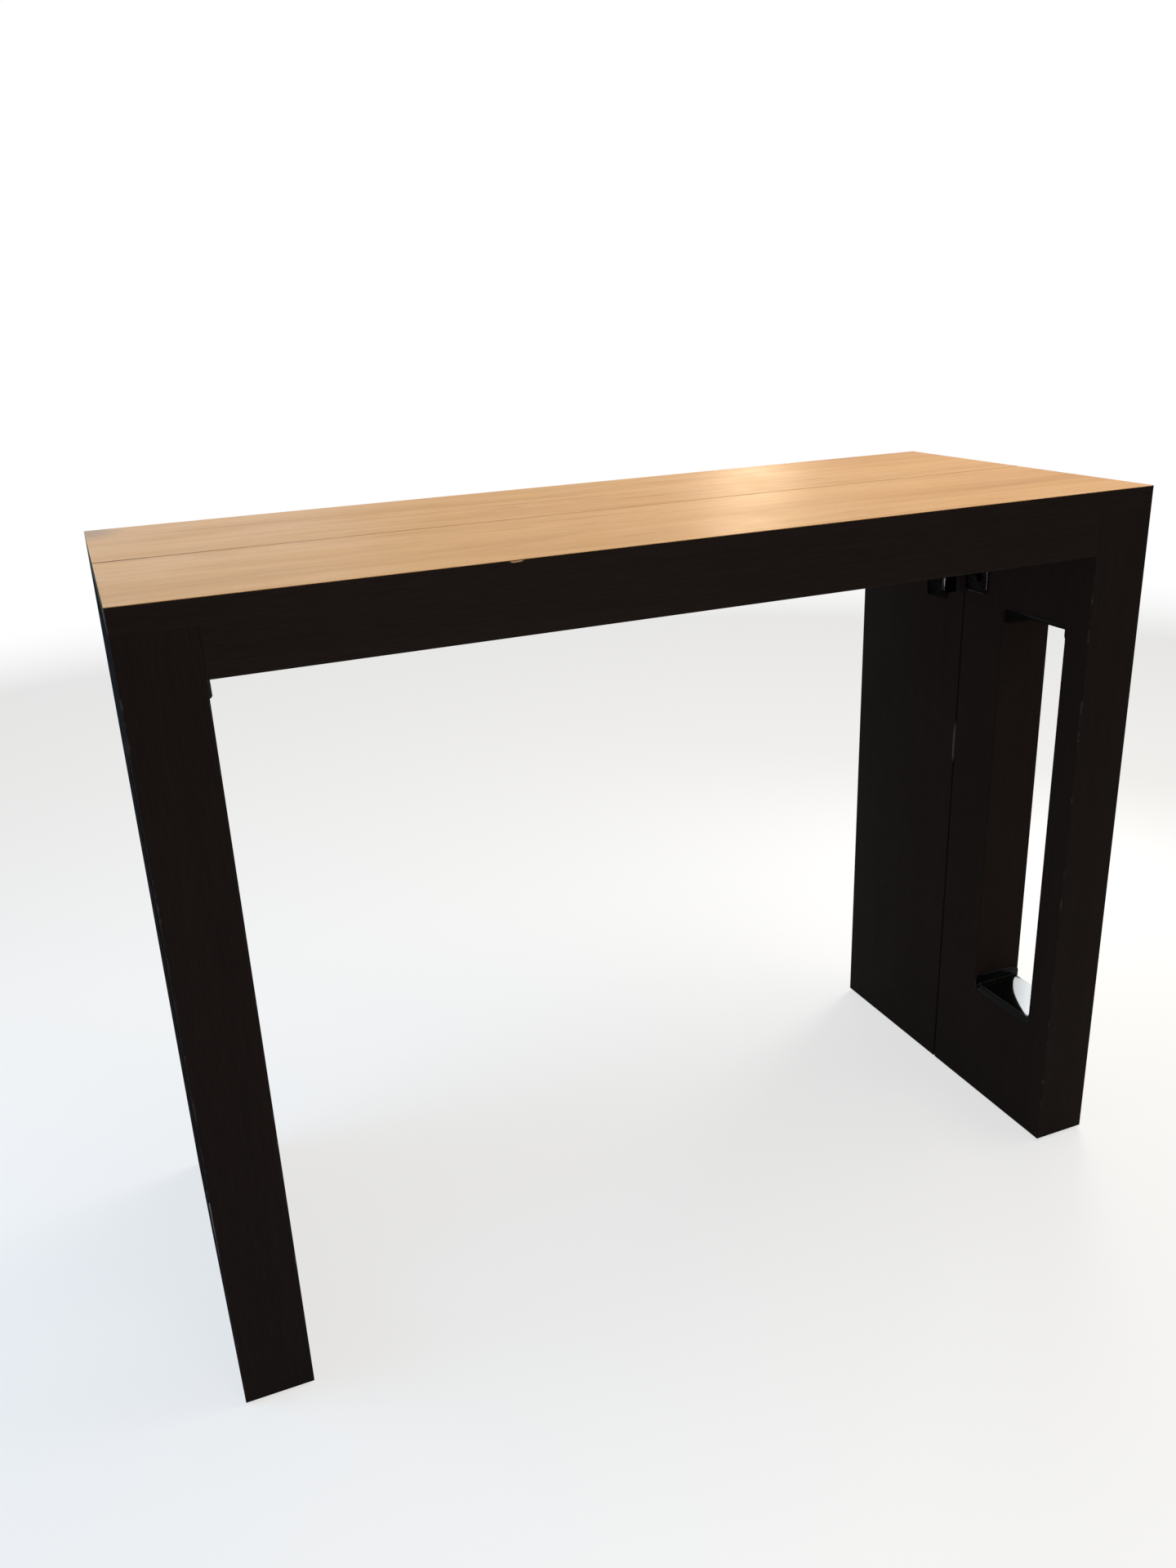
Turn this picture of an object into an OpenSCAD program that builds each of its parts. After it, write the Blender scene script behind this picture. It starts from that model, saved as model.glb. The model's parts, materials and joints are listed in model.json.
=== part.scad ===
// Extendable console table: two halves, each an upside-down U of panels, that
// pull apart on telescopic runners so that leaves can be laid between them.
// Millimetres, +Z up. The origin is on the floor under the middle of the closed
// table, +X runs along its length and -Y towards the front half.

/* [Overall] */
// Length of the table, left to right
table_length = 1000; // [800:10:1200]
// Depth of the closed table, front to rear
table_depth = 400; // [380:10:500]
// Height of the top above the floor
table_height = 770; // [720:5:800]

/* [Top] */
// Thickness of the oak sheet on the top boards
sheet_t = 1; // [0.6:0.1:2]
// Thickness of the top boards
board_t = 21; // [18:1:28]
// Height of the apron boards
apron_h = 43; // [40:1:60]
// Thickness of the apron boards
apron_t = 22; // [16:1:24]
// Thickness of the dark edge bands
band_t = 1; // [0.6:0.1:2]
// Radius of the arrises of the top and the legs
arris_r = 0.8; // [0.3:0.1:1.2]
// Bevel along the upper edges of the oak sheets
sheet_bevel = 0.4; // [0.2:0.1:0.5]
// Radius of the apron's lower edges
apron_r = 1.5; // [0.5:0.5:4]
// Gap between the two top boards when the table is closed
top_gap = 2; // [0.6:0.1:3]
// Diameter of the pins that line the halves up at the seam
seam_pin_d = 8; // [6:0.5:10]
// Distance between neighbouring seam pins
seam_pin_pitch = 300; // [200:10:320]
// Length of a seam pin inside its own board
seam_pin_in = 20; // [14:1:26]
// Length of a seam pin that stands out of the board
seam_pin_out = 10; // [6:1:12]
// Outside diameter of the sleeves that receive the seam pins
sleeve_d = 12; // [11:0.5:14]
// Depth of a sleeve beyond the end of its pin
sleeve_spare = 4; // [2:1:8]

/* [Legs] */
// Thickness of the leg panels
leg_t = 65; // [50:1:80]
// Gap between front and rear leg panels when the table is closed
leg_gap = 2; // [1:0.1:4]
// Thickness of the face sheets of a leg
skin_t = 5; // [3:0.5:8]
// Width of the rear stile inside a rear leg
stile_w = 40; // [30:1:50]
// Height of the rails inside a rear leg
rail_h = 60; // [40:1:80]
// Width across the cells of the honeycomb filling
cell_w = 26; // [20:1:32]
// Thickness of the cell walls of the filling
cell_wall = 2; // [1:0.5:4]
// Height of the floor glides
glide_h = 4; // [3:0.5:8]
// Diameter of the floor glides
glide_d = 28; // [20:1:40]
// Length of a glide's stem in the leg
glide_stem = 14; // [10:1:20]
// Diameter of a glide's stem
glide_stem_d = 6; // [4:0.5:8]
// Distance from a glide's centre to the edge of its leg
glide_edge = 30; // [22:1:45]

/* [Window] */
// Width of the window in a front leg
window_w = 97; // [70:1:110]
// Height of the window in a front leg
window_h = 484; // [300:1:520]
// Height of the window sill above the floor
window_sill = 143; // [100:1:170]
// Width of the post in front of the window
post_w = 33; // [30:1:50]
// Thickness of the lining inside the window
lining_t = 3; // [2:0.5:5]
// Radius of the corners of the window
window_r = 6; // [2:0.5:8]
// Thickness of the moulded caps on the sill and the head
cap_t = 6; // [2:0.5:8]
// Height of the caps' upstands against the jambs
cap_h = 18; // [12:1:24]
// Thickness of those upstands
cap_wall = 1.5; // [1:0.5:3]
// Width of the bevelled rim along the caps' long edges
cap_rim = 5; // [3:0.5:7]

/* [Runners] */
// Distance from a leg to the outermost runner bar
runner_inset = 62; // [60:1:100]
// Width of a runner bar
bar_w = 9; // [9:0.5:14]
// Height of a runner bar
bar_h = 36; // [34:1:38]
// Gap between neighbouring bars
bar_gap = 0.5; // [0.4:0.1:1]
// Wall thickness of the bars
bar_wall = 1.6; // [1.2:0.1:2]
// Thickness of the lips on each side of a bar's slot
lip_t = 2; // [1.6:0.1:2.5]
// Height of a T-rib's neck
neck_h = 4; // [4:0.5:6]
// Height of a T-rib's head
head_h = 12; // [10:0.5:14]
// Thickness of a T-rib's head
head_t = 3; // [2.6:0.1:3.2]
// Clearance between a T-rib and its slot on each side
slide_gap = 0.35; // [0.3:0.05:0.6]
// Length of neighbouring bars that still overlap when pulled out
bar_overlap = 100; // [80:5:140]
// Free length between the bars' ends and the aprons
bar_end_gap = 3; // [2:0.5:8]
// Gap between the bars and the top boards
bar_top_gap = 2; // [1.5:0.5:4]
// Width of the flange that fixes a bar to its top board
flange_w = 18; // [16:1:22]
// Thickness of that flange
flange_t = 3; // [2:0.5:4]
// Diameter of the stop pins
stop_d = 3; // [2.5:0.1:3.4]
// Length of a stop pin that stands in the next bar's groove
stop_out = 1; // [0.8:0.1:1.2]
// Depth of that groove
groove_depth = 1.5; // [1.4:0.1:1.6]
// Distance from a stop pin to its bar's end
stop_edge = 12; // [8:1:20]
// Clearance around a stop pin in its groove
stop_gap = 0.4; // [0.3:0.1:0.6]

/* [Brackets and screws] */
// Length of each flange of a corner bracket
bracket_leg = 36; // [30:1:40]
// Width of a corner bracket
bracket_w = 34; // [28:1:40]
// Thickness of a corner bracket
bracket_t = 2.5; // [2:0.5:4]
// Distance from a corner bracket to the outer edge of its leg
bracket_edge = 45; // [42:1:50]
// Distance between the two brackets of a leg
bracket_pitch = 55; // [44:1:60]
// Distance of the bracket holes from the corner
bracket_hole_in = 24; // [18:1:26]
// Distance between the two holes of a flange
bracket_hole_pitch = 18; // [14:1:20]
// Shank diameter of the wood screws
screw_d = 4; // [3:0.5:5]
// Head diameter of the wood screws
screw_head_d = 8.5; // [7:0.5:9]
// Head height of the wood screws
screw_head_h = 2.4; // [2:0.1:3]
// Depth of the wood screws in the wood
screw_in = 14; // [10:1:16]
// Distance from the end of a fixed bar to its outer screw
runner_screw_edge = 25; // [22:1:50]
// Distance between the two screws of a fixed bar
runner_screw_spacing = 90; // [60:1:95]
// Length of the packers between runner and board
packer_len = 30; // [20:1:40]

/* [Latches] */
// Distance of the latch pivot below the top boards
latch_drop = 94; // [88:1:110]
// Distance of the latch pivot behind the seam
latch_pivot_y = 49; // [47:1:56]
// Distance of the keeper stud in front of the seam
keeper_y = 22; // [20:1:24]
// Height of the latch plates above the pivot and the stud
plate_rise = 24; // [22:1:28]
// Depth of the base plates below the pivot
base_drop = 36; // [22:1:40]
// Depth of the keeper plates below the stud
keeper_drop = 17; // [16:1:24]
// Width of the latch plates
plate_w = 36; // [34:1:38]
// Thickness of the latch plates
plate_t = 2; // [1.5:0.5:3]
// Corner radius of the latch plates
plate_corner_r = 5; // [2:0.5:8]
// Distance of a latch plate's screw holes from its edges
plate_hole_in = 7; // [6:0.5:9]
// Thickness of the lever
lever_t = 3; // [2:0.5:4]
// Width of the lever's arm
lever_w = 13; // [10:0.5:14]
// Free gap between the lever and the plates and heads on its two sides
lever_gap = 0.5; // [0.4:0.1:1]
// Diameter of the keeper stud and of the rivet
stud_d = 6; // [4:0.5:7]
// Diameter of the heads of the stud and the rivet
stud_head_d = 11; // [9:0.5:12]
// Thickness of those heads
stud_head_t = 1.6; // [1:0.1:2.5]
// Clearance of the hook's slot around the stud
hook_gap = 0.8; // [0.5:0.1:1.2]
// Width of the hook around its slot
hook_wall = 5; // [4:0.5:7]
// Distance from the pivot to the end of the lever's thumb tab
tab_len = 37; // [30:1:38]
// Length of the tab's bent-up lug
lug_len = 46; // [30:1:50]
// Depth of that lug
lug_depth = 14; // [8:1:20]
// Radius of the lug's free corners
lug_r = 4; // [1:1:7]

/* [Fits] */
// Radial clearance of a pin or screw in its hole
fit = 0.02; // [0.01:0.01:0.05]
// Radial running clearance of the seam pins and the lever's pivot
running_fit = 0.05; // [0.03:0.01:0.1]
// Radial clearance of a screw in a metal plate
plate_hole_gap = 0.3; // [0.2:0.1:0.6]

/* [Hidden] */
$fn = 48;

// Small overlap that lets a cut run cleanly past a face
past = 1;

// Planes of the table
half_l = table_length / 2;
half_d = table_depth / 2;
leg_in = half_l - leg_t;
sheet_z = table_height - sheet_t;
board_z = sheet_z - board_t;
apron_z = board_z - apron_h;
top_seam = top_gap / 2;
leg_seam = leg_gap / 2;

// The arrises are rounded in the bands alone, and leave some of each band's side flat
edge_r = min(arris_r, 0.8 * band_t);

// Window in a front leg, measured forwards from the seam
window_far = half_d - post_w;
window_near = window_far - window_w;
window_top = window_sill + window_h;

// Runner bars: bar 1 is fixed to the rear half and the last one to the front
bar_count = 5;
bar_pitch = bar_w + bar_gap;
bar_len = table_depth - 2 * (apron_t + bar_end_gap);
bar_travel = bar_len - bar_overlap;
bar_top_z = board_z - bar_top_gap;
bar_mid_z = bar_top_z - bar_h / 2;
bar_1_x = leg_in - runner_inset;
neck_len = bar_gap + lip_t + slide_gap;
slot_depth = head_t + 2 * slide_gap;
slot_back = bar_w - lip_t - slot_depth;
chamber_low = head_h / 2 + slide_gap + bar_wall;
chamber_high = bar_h / 2 - bar_wall;
chamber_r = 1;
stop_y = bar_len / 2 - stop_edge;

// Screw rows, measured from the seam
bracket_rows = [half_d - bracket_edge, half_d - bracket_edge - bracket_pitch];
runner_outer_row = bar_len / 2 - runner_screw_edge;
runner_rows = [runner_outer_row - runner_screw_spacing, runner_outer_row];

// Bores in the rear board for the sleeves of the seam pins
sleeve_len = seam_pin_out + sleeve_spare;

// Share of a head's or a glide's height that is bevelled, and its smaller end
bevel_share = 0.4;
head_end = 0.7;
glide_end = 0.9;

// Latch: its pivot and its stud lie at one height
latch_z = board_z - latch_drop;
lever_x = leg_in - plate_t - lever_gap - lever_t;
hook_reach = latch_pivot_y + keeper_y;

// Colours
oak_colour = "#d0aa7c";
dark_colour = "#2a211d";
gloss_colour = "#141212";
chipboard_colour = "#b08d5f";
paper_colour = "#c9b58c";
aluminium_colour = "#b9bcc0";
steel_colour = "#9a9da1";
nylon_colour = "#e6e2d8";

// A box between two limits on each axis
module block(x, y, z) {
    translate([x[0], y[0], z[0]]) cube([x[1] - x[0], y[1] - y[0], z[1] - z[0]]);
}

module on_left() {
    mirror([1, 0, 0]) children();
}

module on_both_sides() {
    children();
    on_left() children();
}

// Everything below is drawn behind the seam; the front half is its mirror image
module on_front() {
    mirror([0, 1, 0]) children();
}

// A flat rectangle between two limits on each axis
module flat(x, y) {
    translate([x[0], y[0]]) square([x[1] - x[0], y[1] - y[0]]);
}

// The same with round corners
module round_flat(x, y, r) {
    flat([x[0] + r, x[1] - r], y);
    flat(x, [y[0] + r, y[1] - r]);
    for (cx = [x[0] + r, x[1] - r], cy = [y[0] + r, y[1] - r]) translate([cx, cy]) circle(r);
}

// The same with round corners at its far side on Y only
module far_round_flat(x, y, r) {
    flat([x[0] + r, x[1] - r], y);
    flat(x, [y[0], y[1] - r]);
    intersection() {
        for (cx = [x[0] + r, x[1] - r]) translate([cx, y[1] - r]) circle(r);
        flat(x, y);
    }
}

// Raises an outline drawn as length and height into a wall across X
module across_x(x0, x1) {
    translate([x0, 0, 0]) rotate([90, 0, 90]) linear_extrude(height = x1 - x0) children();
}

// Raises an outline drawn as X and Z into a bar along Y, centred on the seam
module along_y(length) {
    rotate([90, 0, 0]) linear_extrude(height = length, center = true) children();
}

// A shaft along Y between two places
module shaft_y(y0, y1, d) {
    translate([0, y0, 0]) rotate([-90, 0, 0]) cylinder(h = y1 - y0, d = d);
}

// Pan-head wood screw: the wood starts at z = 0 and stack is what it clamps
module wood_screw(stack) {
    bevel = screw_head_h * bevel_share;
    tip = screw_d / 2;
    translate([0, 0, -stack - screw_head_h]) {
        cylinder(h = bevel, d1 = screw_head_d * head_end, d2 = screw_head_d);
        translate([0, 0, bevel]) cylinder(h = screw_head_h - bevel, d = screw_head_d);
    }
    translate([0, 0, -stack]) cylinder(h = stack + screw_in - tip, d = screw_d);
    translate([0, 0, screw_in - tip]) cylinder(h = tip, d1 = screw_d, d2 = screw_d / 8);
}

// Its pilot hole in the wood
module pilot_hole() {
    translate([0, 0, -past]) cylinder(h = screw_in + past, d = screw_d + 2 * fit);
}

// Places of the bracket screws that go up into the board, right-hand leg
module at_board_screws() {
    for (y = bracket_rows, side = [-1, 1])
        translate([leg_in - bracket_hole_in, y + side * bracket_hole_pitch / 2, board_z]) children();
}

// Places of the bracket screws that go sideways into the right-hand leg
module at_leg_screws() {
    for (y = bracket_rows, side = [-1, 1])
        translate([leg_in, y + side * bracket_hole_pitch / 2, board_z - bracket_hole_in])
            rotate([0, 90, 0]) children();
}

// Places of the screws that hang a fixed runner bar from the board
module at_runner_screws(x) {
    for (y = runner_rows) translate([x, y, board_z]) children();
}

// X of the middle of a fixed bar's flange: outside bar 1, inside the last bar
rear_flange_x = bar_1_x + flange_w / 2;
front_flange_x = bar_1_x - (bar_count - 1) * bar_pitch - bar_w - flange_w / 2;

// Places of the seam pins, halfway up the boards
module at_seam_pins() {
    for (i = [-1:1]) translate([i * seam_pin_pitch, 0, board_z + board_t / 2]) children();
}

// Plan of one half of the top, with its corners rounded
module top_outline() {
    round_flat([-half_l, half_l], [top_seam, half_d], edge_r);
}

// Section of a sheet from one edge to the other, bevelled along both upper edges
module bevelled_section(from, to) {
    polygon([[from, 0], [to, 0], [to, sheet_t - sheet_bevel], [to - sheet_bevel, sheet_t],
        [from + sheet_bevel, sheet_t], [from, sheet_t - sheet_bevel]]);
}

// One half's oak sheet, which covers the board and its bands
module oak_sheet() {
    color(oak_colour) translate([0, 0, sheet_z]) intersection() {
        linear_extrude(height = sheet_t) top_outline();
        along_y(2 * table_depth) bevelled_section(-half_l, half_l);
        across_x(-half_l, half_l) bevelled_section(top_seam, half_d);
    }
}

// One half's board, with the bores at its seam edge and its pilot holes
module top_board(bore_d, bore_depth, flange_x) {
    color(chipboard_colour) difference() {
        block([band_t - half_l, half_l - band_t], [top_seam + band_t, half_d - band_t], [board_z, sheet_z]);
        at_seam_pins() shaft_y(0, top_seam + bore_depth, bore_d);
        on_both_sides() {
            at_board_screws() pilot_hole();
            at_runner_screws(flange_x) pilot_hole();
        }
    }
}

// The band round one half's board, bored at the seam
module top_edge_band(bore_d) {
    color(dark_colour) difference() {
        translate([0, 0, board_z]) linear_extrude(height = board_t) top_outline();
        block([band_t - half_l, half_l - band_t], [top_seam + band_t, half_d - band_t],
            [board_z - past, sheet_z + past]);
        at_seam_pins() shaft_y(0, top_seam + 2 * band_t, bore_d);
    }
}

// The apron stands between the legs, flush with their outer edges, with round lower edges
module apron() {
    color(dark_colour) translate([0, 0, board_z]) mirror([0, 0, 1]) across_x(-leg_in, leg_in)
        far_round_flat([half_d - apron_t, half_d], [0, apron_h], apron_r);
}

// Outline of a leg without its bands, drawn as depth and height
module leg_outline() {
    flat([leg_seam + band_t, half_d - band_t], [glide_h, board_z]);
}

// The clear window plus a margin all round
module window_outline(margin) {
    round_flat([window_near - margin, window_far + margin],
        [window_sill - margin, window_top + margin], window_r + margin);
}

// Places of the two glides under a right-hand leg
module at_glides() {
    for (y = [leg_seam + glide_edge, half_d - glide_edge]) translate([half_l - leg_t / 2, y, 0]) children();
}

// What the bracket screws and the glide stems take out of a right-hand leg
module leg_bores() {
    at_leg_screws() pilot_hole();
    at_glides() cylinder(h = glide_h + glide_stem, d = glide_stem_d + 2 * fit);
}

// What the screws of the base plate take out of a right-hand rear leg
module base_bores() {
    at_plate_screws(latch_pivot_y, base_drop) translate([0, 0, plate_t]) pilot_hole();
}

// What the screws of the keeper plate take out of a right-hand front leg
module keeper_bores() {
    on_front() at_plate_screws(-keeper_y, keeper_drop) translate([0, 0, plate_t]) pilot_hole();
}

// Core of a front leg: solid rails and stiles round the window
module front_leg_frame() {
    color(chipboard_colour) difference() {
        across_x(leg_in + skin_t, half_l - skin_t) difference() {
            leg_outline();
            window_outline(lining_t);
        }
        leg_bores();
        keeper_bores();
    }
}

// The two bays of a rear leg's frame; the stile at the seam is as wide as the base plate needs
bay_y = [latch_pivot_y + plate_w / 2, half_d - band_t - stile_w];
bay_h = (board_z - glide_h - 3 * rail_h) / 2;
bay_floors = [glide_h + rail_h, glide_h + 2 * rail_h + bay_h];

// Core of a rear leg: a frame of stiles and rails round two bays
module rear_leg_frame() {
    color(chipboard_colour) difference() {
        across_x(leg_in + skin_t, half_l - skin_t) difference() {
            leg_outline();
            for (z = bay_floors) flat(bay_y, [z, z + bay_h]);
        }
        leg_bores();
        base_bores();
    }
}

// Honeycomb filling of one bay, with as many whole cells as fit
module honeycomb(z) {
    step_y = cell_w + cell_wall;
    step_z = step_y * sin(60);
    columns = floor((bay_y[1] - bay_y[0] - cell_wall - step_y / 2) / step_y);
    rows = floor((bay_h - cell_wall) / step_z);
    first_y = (bay_y[0] + bay_y[1]) / 2 - (columns - 0.5) * step_y / 2;
    first_z = z + (bay_h - (rows - 1) * step_z) / 2;
    across_x(leg_in + skin_t, half_l - skin_t) difference() {
        flat(bay_y, [z, z + bay_h]);
        for (row = [0:rows - 1], column = [0:columns - 1])
            translate([first_y + (column + (row % 2) / 2) * step_y, first_z + row * step_z])
                rotate(30) circle(d = cell_w / cos(30), $fn = 6);
    }
}

module leg_skin(x0, has_window) {
    color(dark_colour) across_x(x0, x0 + skin_t) difference() {
        leg_outline();
        if (has_window) window_outline(lining_t);
    }
}

module front_inner_skin() {
    difference() {
        leg_skin(leg_in, true);
        at_leg_screws() pilot_hole();
        keeper_bores();
    }
}

module rear_inner_skin() {
    difference() {
        leg_skin(leg_in, false);
        at_leg_screws() pilot_hole();
        base_bores();
    }
}

module outer_skin(has_window) {
    leg_skin(half_l - skin_t, has_window);
}

// A band that faces +Y, with its outer face on the X axis
module leg_edge_band() {
    translate([0, 0, glide_h]) linear_extrude(height = board_z - glide_h)
        far_round_flat([leg_in, half_l], [-band_t, 0], edge_r);
}

// Bands on the outer edge and on the seam edge of a right-hand leg
module leg_edge_bands() {
    color(dark_colour) {
        translate([0, half_d, 0]) leg_edge_band();
        translate([0, leg_seam, 0]) mirror([0, 1, 0]) leg_edge_band();
    }
}

module window_lining() {
    color(dark_colour) across_x(leg_in, half_l) difference() {
        window_outline(lining_t);
        window_outline(0);
    }
}

// Outline of a cap's upstand, drawn as X and height, with round inner and outer corners
module upstand_outline() {
    flat([leg_in, half_l], [0, cap_t]);
    round_flat([leg_in, half_l], [0, cap_h], cap_h * 0.45);
}

// Moulded cap for the foot of the window: a tray with bevelled rims and two upstands
module window_cap() {
    floor_profile = [[leg_in, 0], [half_l, 0], [half_l - cap_rim, cap_t], [leg_in + cap_rim, cap_t]];
    color(gloss_colour) intersection() {
        union() {
            translate([0, (window_near + window_far) / 2, 0]) along_y(window_w) polygon(floor_profile);
            for (y = [window_near + cap_wall / 2, window_far - cap_wall / 2])
                translate([0, y, 0]) along_y(cap_wall) upstand_outline();
        }
        translate([0, 0, -window_sill]) across_x(leg_in, half_l) window_outline(0);
    }
}

// Floor glide with its stem
module glide() {
    bevel = glide_h * bevel_share;
    color(nylon_colour) {
        cylinder(h = bevel, d1 = glide_d * glide_end, d2 = glide_d);
        translate([0, 0, bevel]) cylinder(h = glide_h - bevel, d = glide_d);
        translate([0, 0, glide_h]) cylinder(h = glide_stem, d = glide_stem_d);
    }
}

// Angle bracket in the corner between a right-hand leg and the board
module corner_bracket() {
    fillet = bracket_t * 1.6;
    far = bracket_t + fillet;
    along_y(bracket_w) translate([leg_in, board_z]) rotate(180) {
        round_flat([0, bracket_leg], [0, bracket_t], bracket_t * 0.3);
        round_flat([0, bracket_t], [0, bracket_leg], bracket_t * 0.3);
        difference() {
            flat([0, far], [0, far]);
            translate([far, far]) circle(fillet);
        }
    }
}

module corner_brackets() {
    hole_d = screw_d + 2 * plate_hole_gap;
    color(steel_colour) difference() {
        for (y = bracket_rows) translate([0, y, 0]) corner_bracket();
        at_board_screws() translate([0, 0, -2 * bracket_t]) cylinder(h = 2 * bracket_t + past, d = hole_d);
        at_leg_screws() translate([0, 0, -2 * bracket_t]) cylinder(h = 2 * bracket_t + past, d = hole_d);
    }
}

module bracket_screws() {
    color(steel_colour) {
        at_board_screws() wood_screw(bracket_t);
        at_leg_screws() wood_screw(bracket_t);
    }
}

// Packers between a fixed bar's flange and the board
module runner_packers(x) {
    color(nylon_colour) at_runner_screws(x) difference() {
        block([-flange_w / 2, flange_w / 2], [-packer_len / 2, packer_len / 2], [-bar_top_gap, 0]);
        translate([0, 0, -bar_top_gap - past])
            cylinder(h = bar_top_gap + 2 * past, d = screw_d + 2 * plate_hole_gap);
    }
}

module runner_screws(x) {
    color(steel_colour) at_runner_screws(x) wood_screw(bar_top_gap + flange_t);
}

// Cross-section of a runner bar with its outer face at x = 0 and its middle at y = 0
module bar_outline(has_rib, has_slot) {
    difference() {
        flat([-bar_w, 0], [-bar_h / 2, bar_h / 2]);
        if (has_slot) {
            flat([-bar_w - past, slot_depth - bar_w], [-neck_h / 2 - slide_gap, neck_h / 2 + slide_gap]);
            flat([-slot_back - slot_depth, -slot_back],
                [-head_h / 2 - slide_gap, head_h / 2 + slide_gap]);
        } else {
            round_flat([bar_wall - bar_w, -bar_wall],
                [bar_wall - chamber_low, chamber_low - bar_wall], chamber_r);
        }
        for (side = [-1, 1]) {
            middle = side * (chamber_low + chamber_high) / 2;
            reach = (chamber_high - chamber_low) / 2;
            round_flat([bar_wall - bar_w, -bar_wall], [middle - reach, middle + reach], chamber_r);
        }
    }
    if (has_rib) {
        flat([0, neck_len], [-neck_h / 2, neck_h / 2]);
        flat([neck_len, neck_len + head_t], [-head_h / 2, head_h / 2]);
    }
}

// Flange of a fixed bar, level with the bar's top
module bar_flange(x0) {
    flat([x0, x0 + flange_w], [bar_h / 2 - flange_t, bar_h / 2]);
}

// Groove in the back of a bar's slot, in which the next bar's stop pin runs
module stop_groove() {
    reach = stop_d / 2 + stop_gap;
    block([-slot_back - past, groove_depth - slot_back],
        [stop_y - bar_travel - reach, stop_y + reach], [-reach, reach]);
}

// Stop pin of a bar, drawn from inside the rib's head to its free end
module stop_pin(out, gap) {
    depth = head_t - stop_gap;
    translate([neck_len + head_t - depth, stop_y, 0])
        rotate([0, 90, 0]) cylinder(h = depth + out, d = stop_d + 2 * gap);
}

// Puts a bar's own outline in its place on the right-hand side
module at_bar(number) {
    translate([bar_1_x - (number - 1) * bar_pitch, 0, bar_mid_z]) children();
}

module runner_bar(number) {
    has_rib = number > 1;
    has_slot = number < bar_count;
    color(aluminium_colour) at_bar(number) difference() {
        along_y(bar_len) {
            bar_outline(has_rib, has_slot);
            if (!has_rib) bar_flange(0);
            if (!has_slot) bar_flange(-bar_w - flange_w);
        }
        if (has_slot) stop_groove();
        if (has_rib) stop_pin(past, fit);
        if (!has_rib) flange_holes(flange_w / 2, 1);
        if (!has_slot) flange_holes(-bar_w - flange_w / 2, -1);
    }
}

// Screw holes of a fixed bar's flange, behind or in front of the seam
module flange_holes(x, end) {
    for (y = runner_rows) translate([x, end * y, bar_h / 2 - flange_t - past])
        cylinder(h = flange_t + 2 * past, d = screw_d + 2 * plate_hole_gap);
}

module stop_pins(number) {
    color(steel_colour) on_both_sides() at_bar(number) stop_pin(stop_out, 0);
}

module seam_pins() {
    nose = 1;
    color(chipboard_colour) at_seam_pins() {
        shaft_y(-top_seam - seam_pin_in, top_seam + seam_pin_out - nose, seam_pin_d);
        translate([0, top_seam + seam_pin_out - nose, 0])
            rotate([-90, 0, 0]) cylinder(h = nose, d1 = seam_pin_d, d2 = seam_pin_d - 2 * nose);
    }
}

module seam_sleeves() {
    color(nylon_colour) at_seam_pins() difference() {
        shaft_y(top_seam, top_seam + sleeve_len, sleeve_d);
        shaft_y(top_seam - past, top_seam + seam_pin_out + past, seam_pin_d + 2 * running_fit);
    }
}

// Places of the two screws of a latch plate: low towards the front and high towards the rear
module at_plate_screws(y, drop) {
    reach = plate_w / 2 - plate_hole_in;
    for (place = [[y - reach, plate_hole_in - drop], [y + reach, plate_rise - plate_hole_in]])
        translate([leg_in - plate_t, place[0], latch_z + place[1]]) rotate([0, 90, 0]) children();
}

// Plate on a leg's inner face, with the bore for its shaft and countersunk holes
module latch_plate(y, drop) {
    half_w = plate_w / 2;
    hole_d = screw_d + 2 * plate_hole_gap;
    sink_h = hole_d / 2 + past;
    color(steel_colour) difference() {
        across_x(leg_in - plate_t, leg_in)
            round_flat([y - half_w, y + half_w], [latch_z - drop, latch_z + plate_rise], plate_corner_r);
        translate([leg_in - plate_t - past, y, latch_z]) rotate([0, 90, 0])
            cylinder(h = plate_t + 2 * past, d = stud_d + 2 * fit);
        at_plate_screws(y, drop) {
            translate([0, 0, -past]) cylinder(h = plate_t + 2 * past, d = hole_d);
            translate([0, 0, -past]) cylinder(h = sink_h, d1 = 2 * (hole_d + past), d2 = hole_d - past);
        }
    }
}

// Headed shaft from a leg's inner face through its plate and the plane of the lever
module headed_shaft(y) {
    shaft_len = leg_in - lever_x + lever_gap;
    color(steel_colour) translate([leg_in, y, latch_z]) rotate([0, -90, 0]) {
        cylinder(h = shaft_len, d = stud_d);
        translate([0, 0, shaft_len])
            cylinder(h = stud_head_t, d1 = stud_head_d, d2 = stud_head_d * head_end);
    }
}

// Flat of the lever, drawn with its arm along +X and its thumb tab along +Y
module lever_outline() {
    slot_r = stud_d / 2 + hook_gap;
    hook_r = slot_r + hook_wall;
    difference() {
        union() {
            circle(lever_w * 0.75);
            flat([0, hook_reach], [-lever_w / 2, lever_w / 2]);
            translate([hook_reach, 0]) circle(hook_r);
            flat([-lever_w / 2, lever_w / 2], [0, tab_len]);
        }
        circle(d = stud_d + 2 * running_fit);
        translate([hook_reach, 0]) circle(slot_r);
        intersection() {
            difference() {
                circle(hook_reach + slot_r);
                circle(hook_reach - slot_r);
            }
            flat([hook_reach - 2 * hook_r, hook_reach + slot_r], [0, 2 * hook_r]);
        }
    }
}

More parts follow.
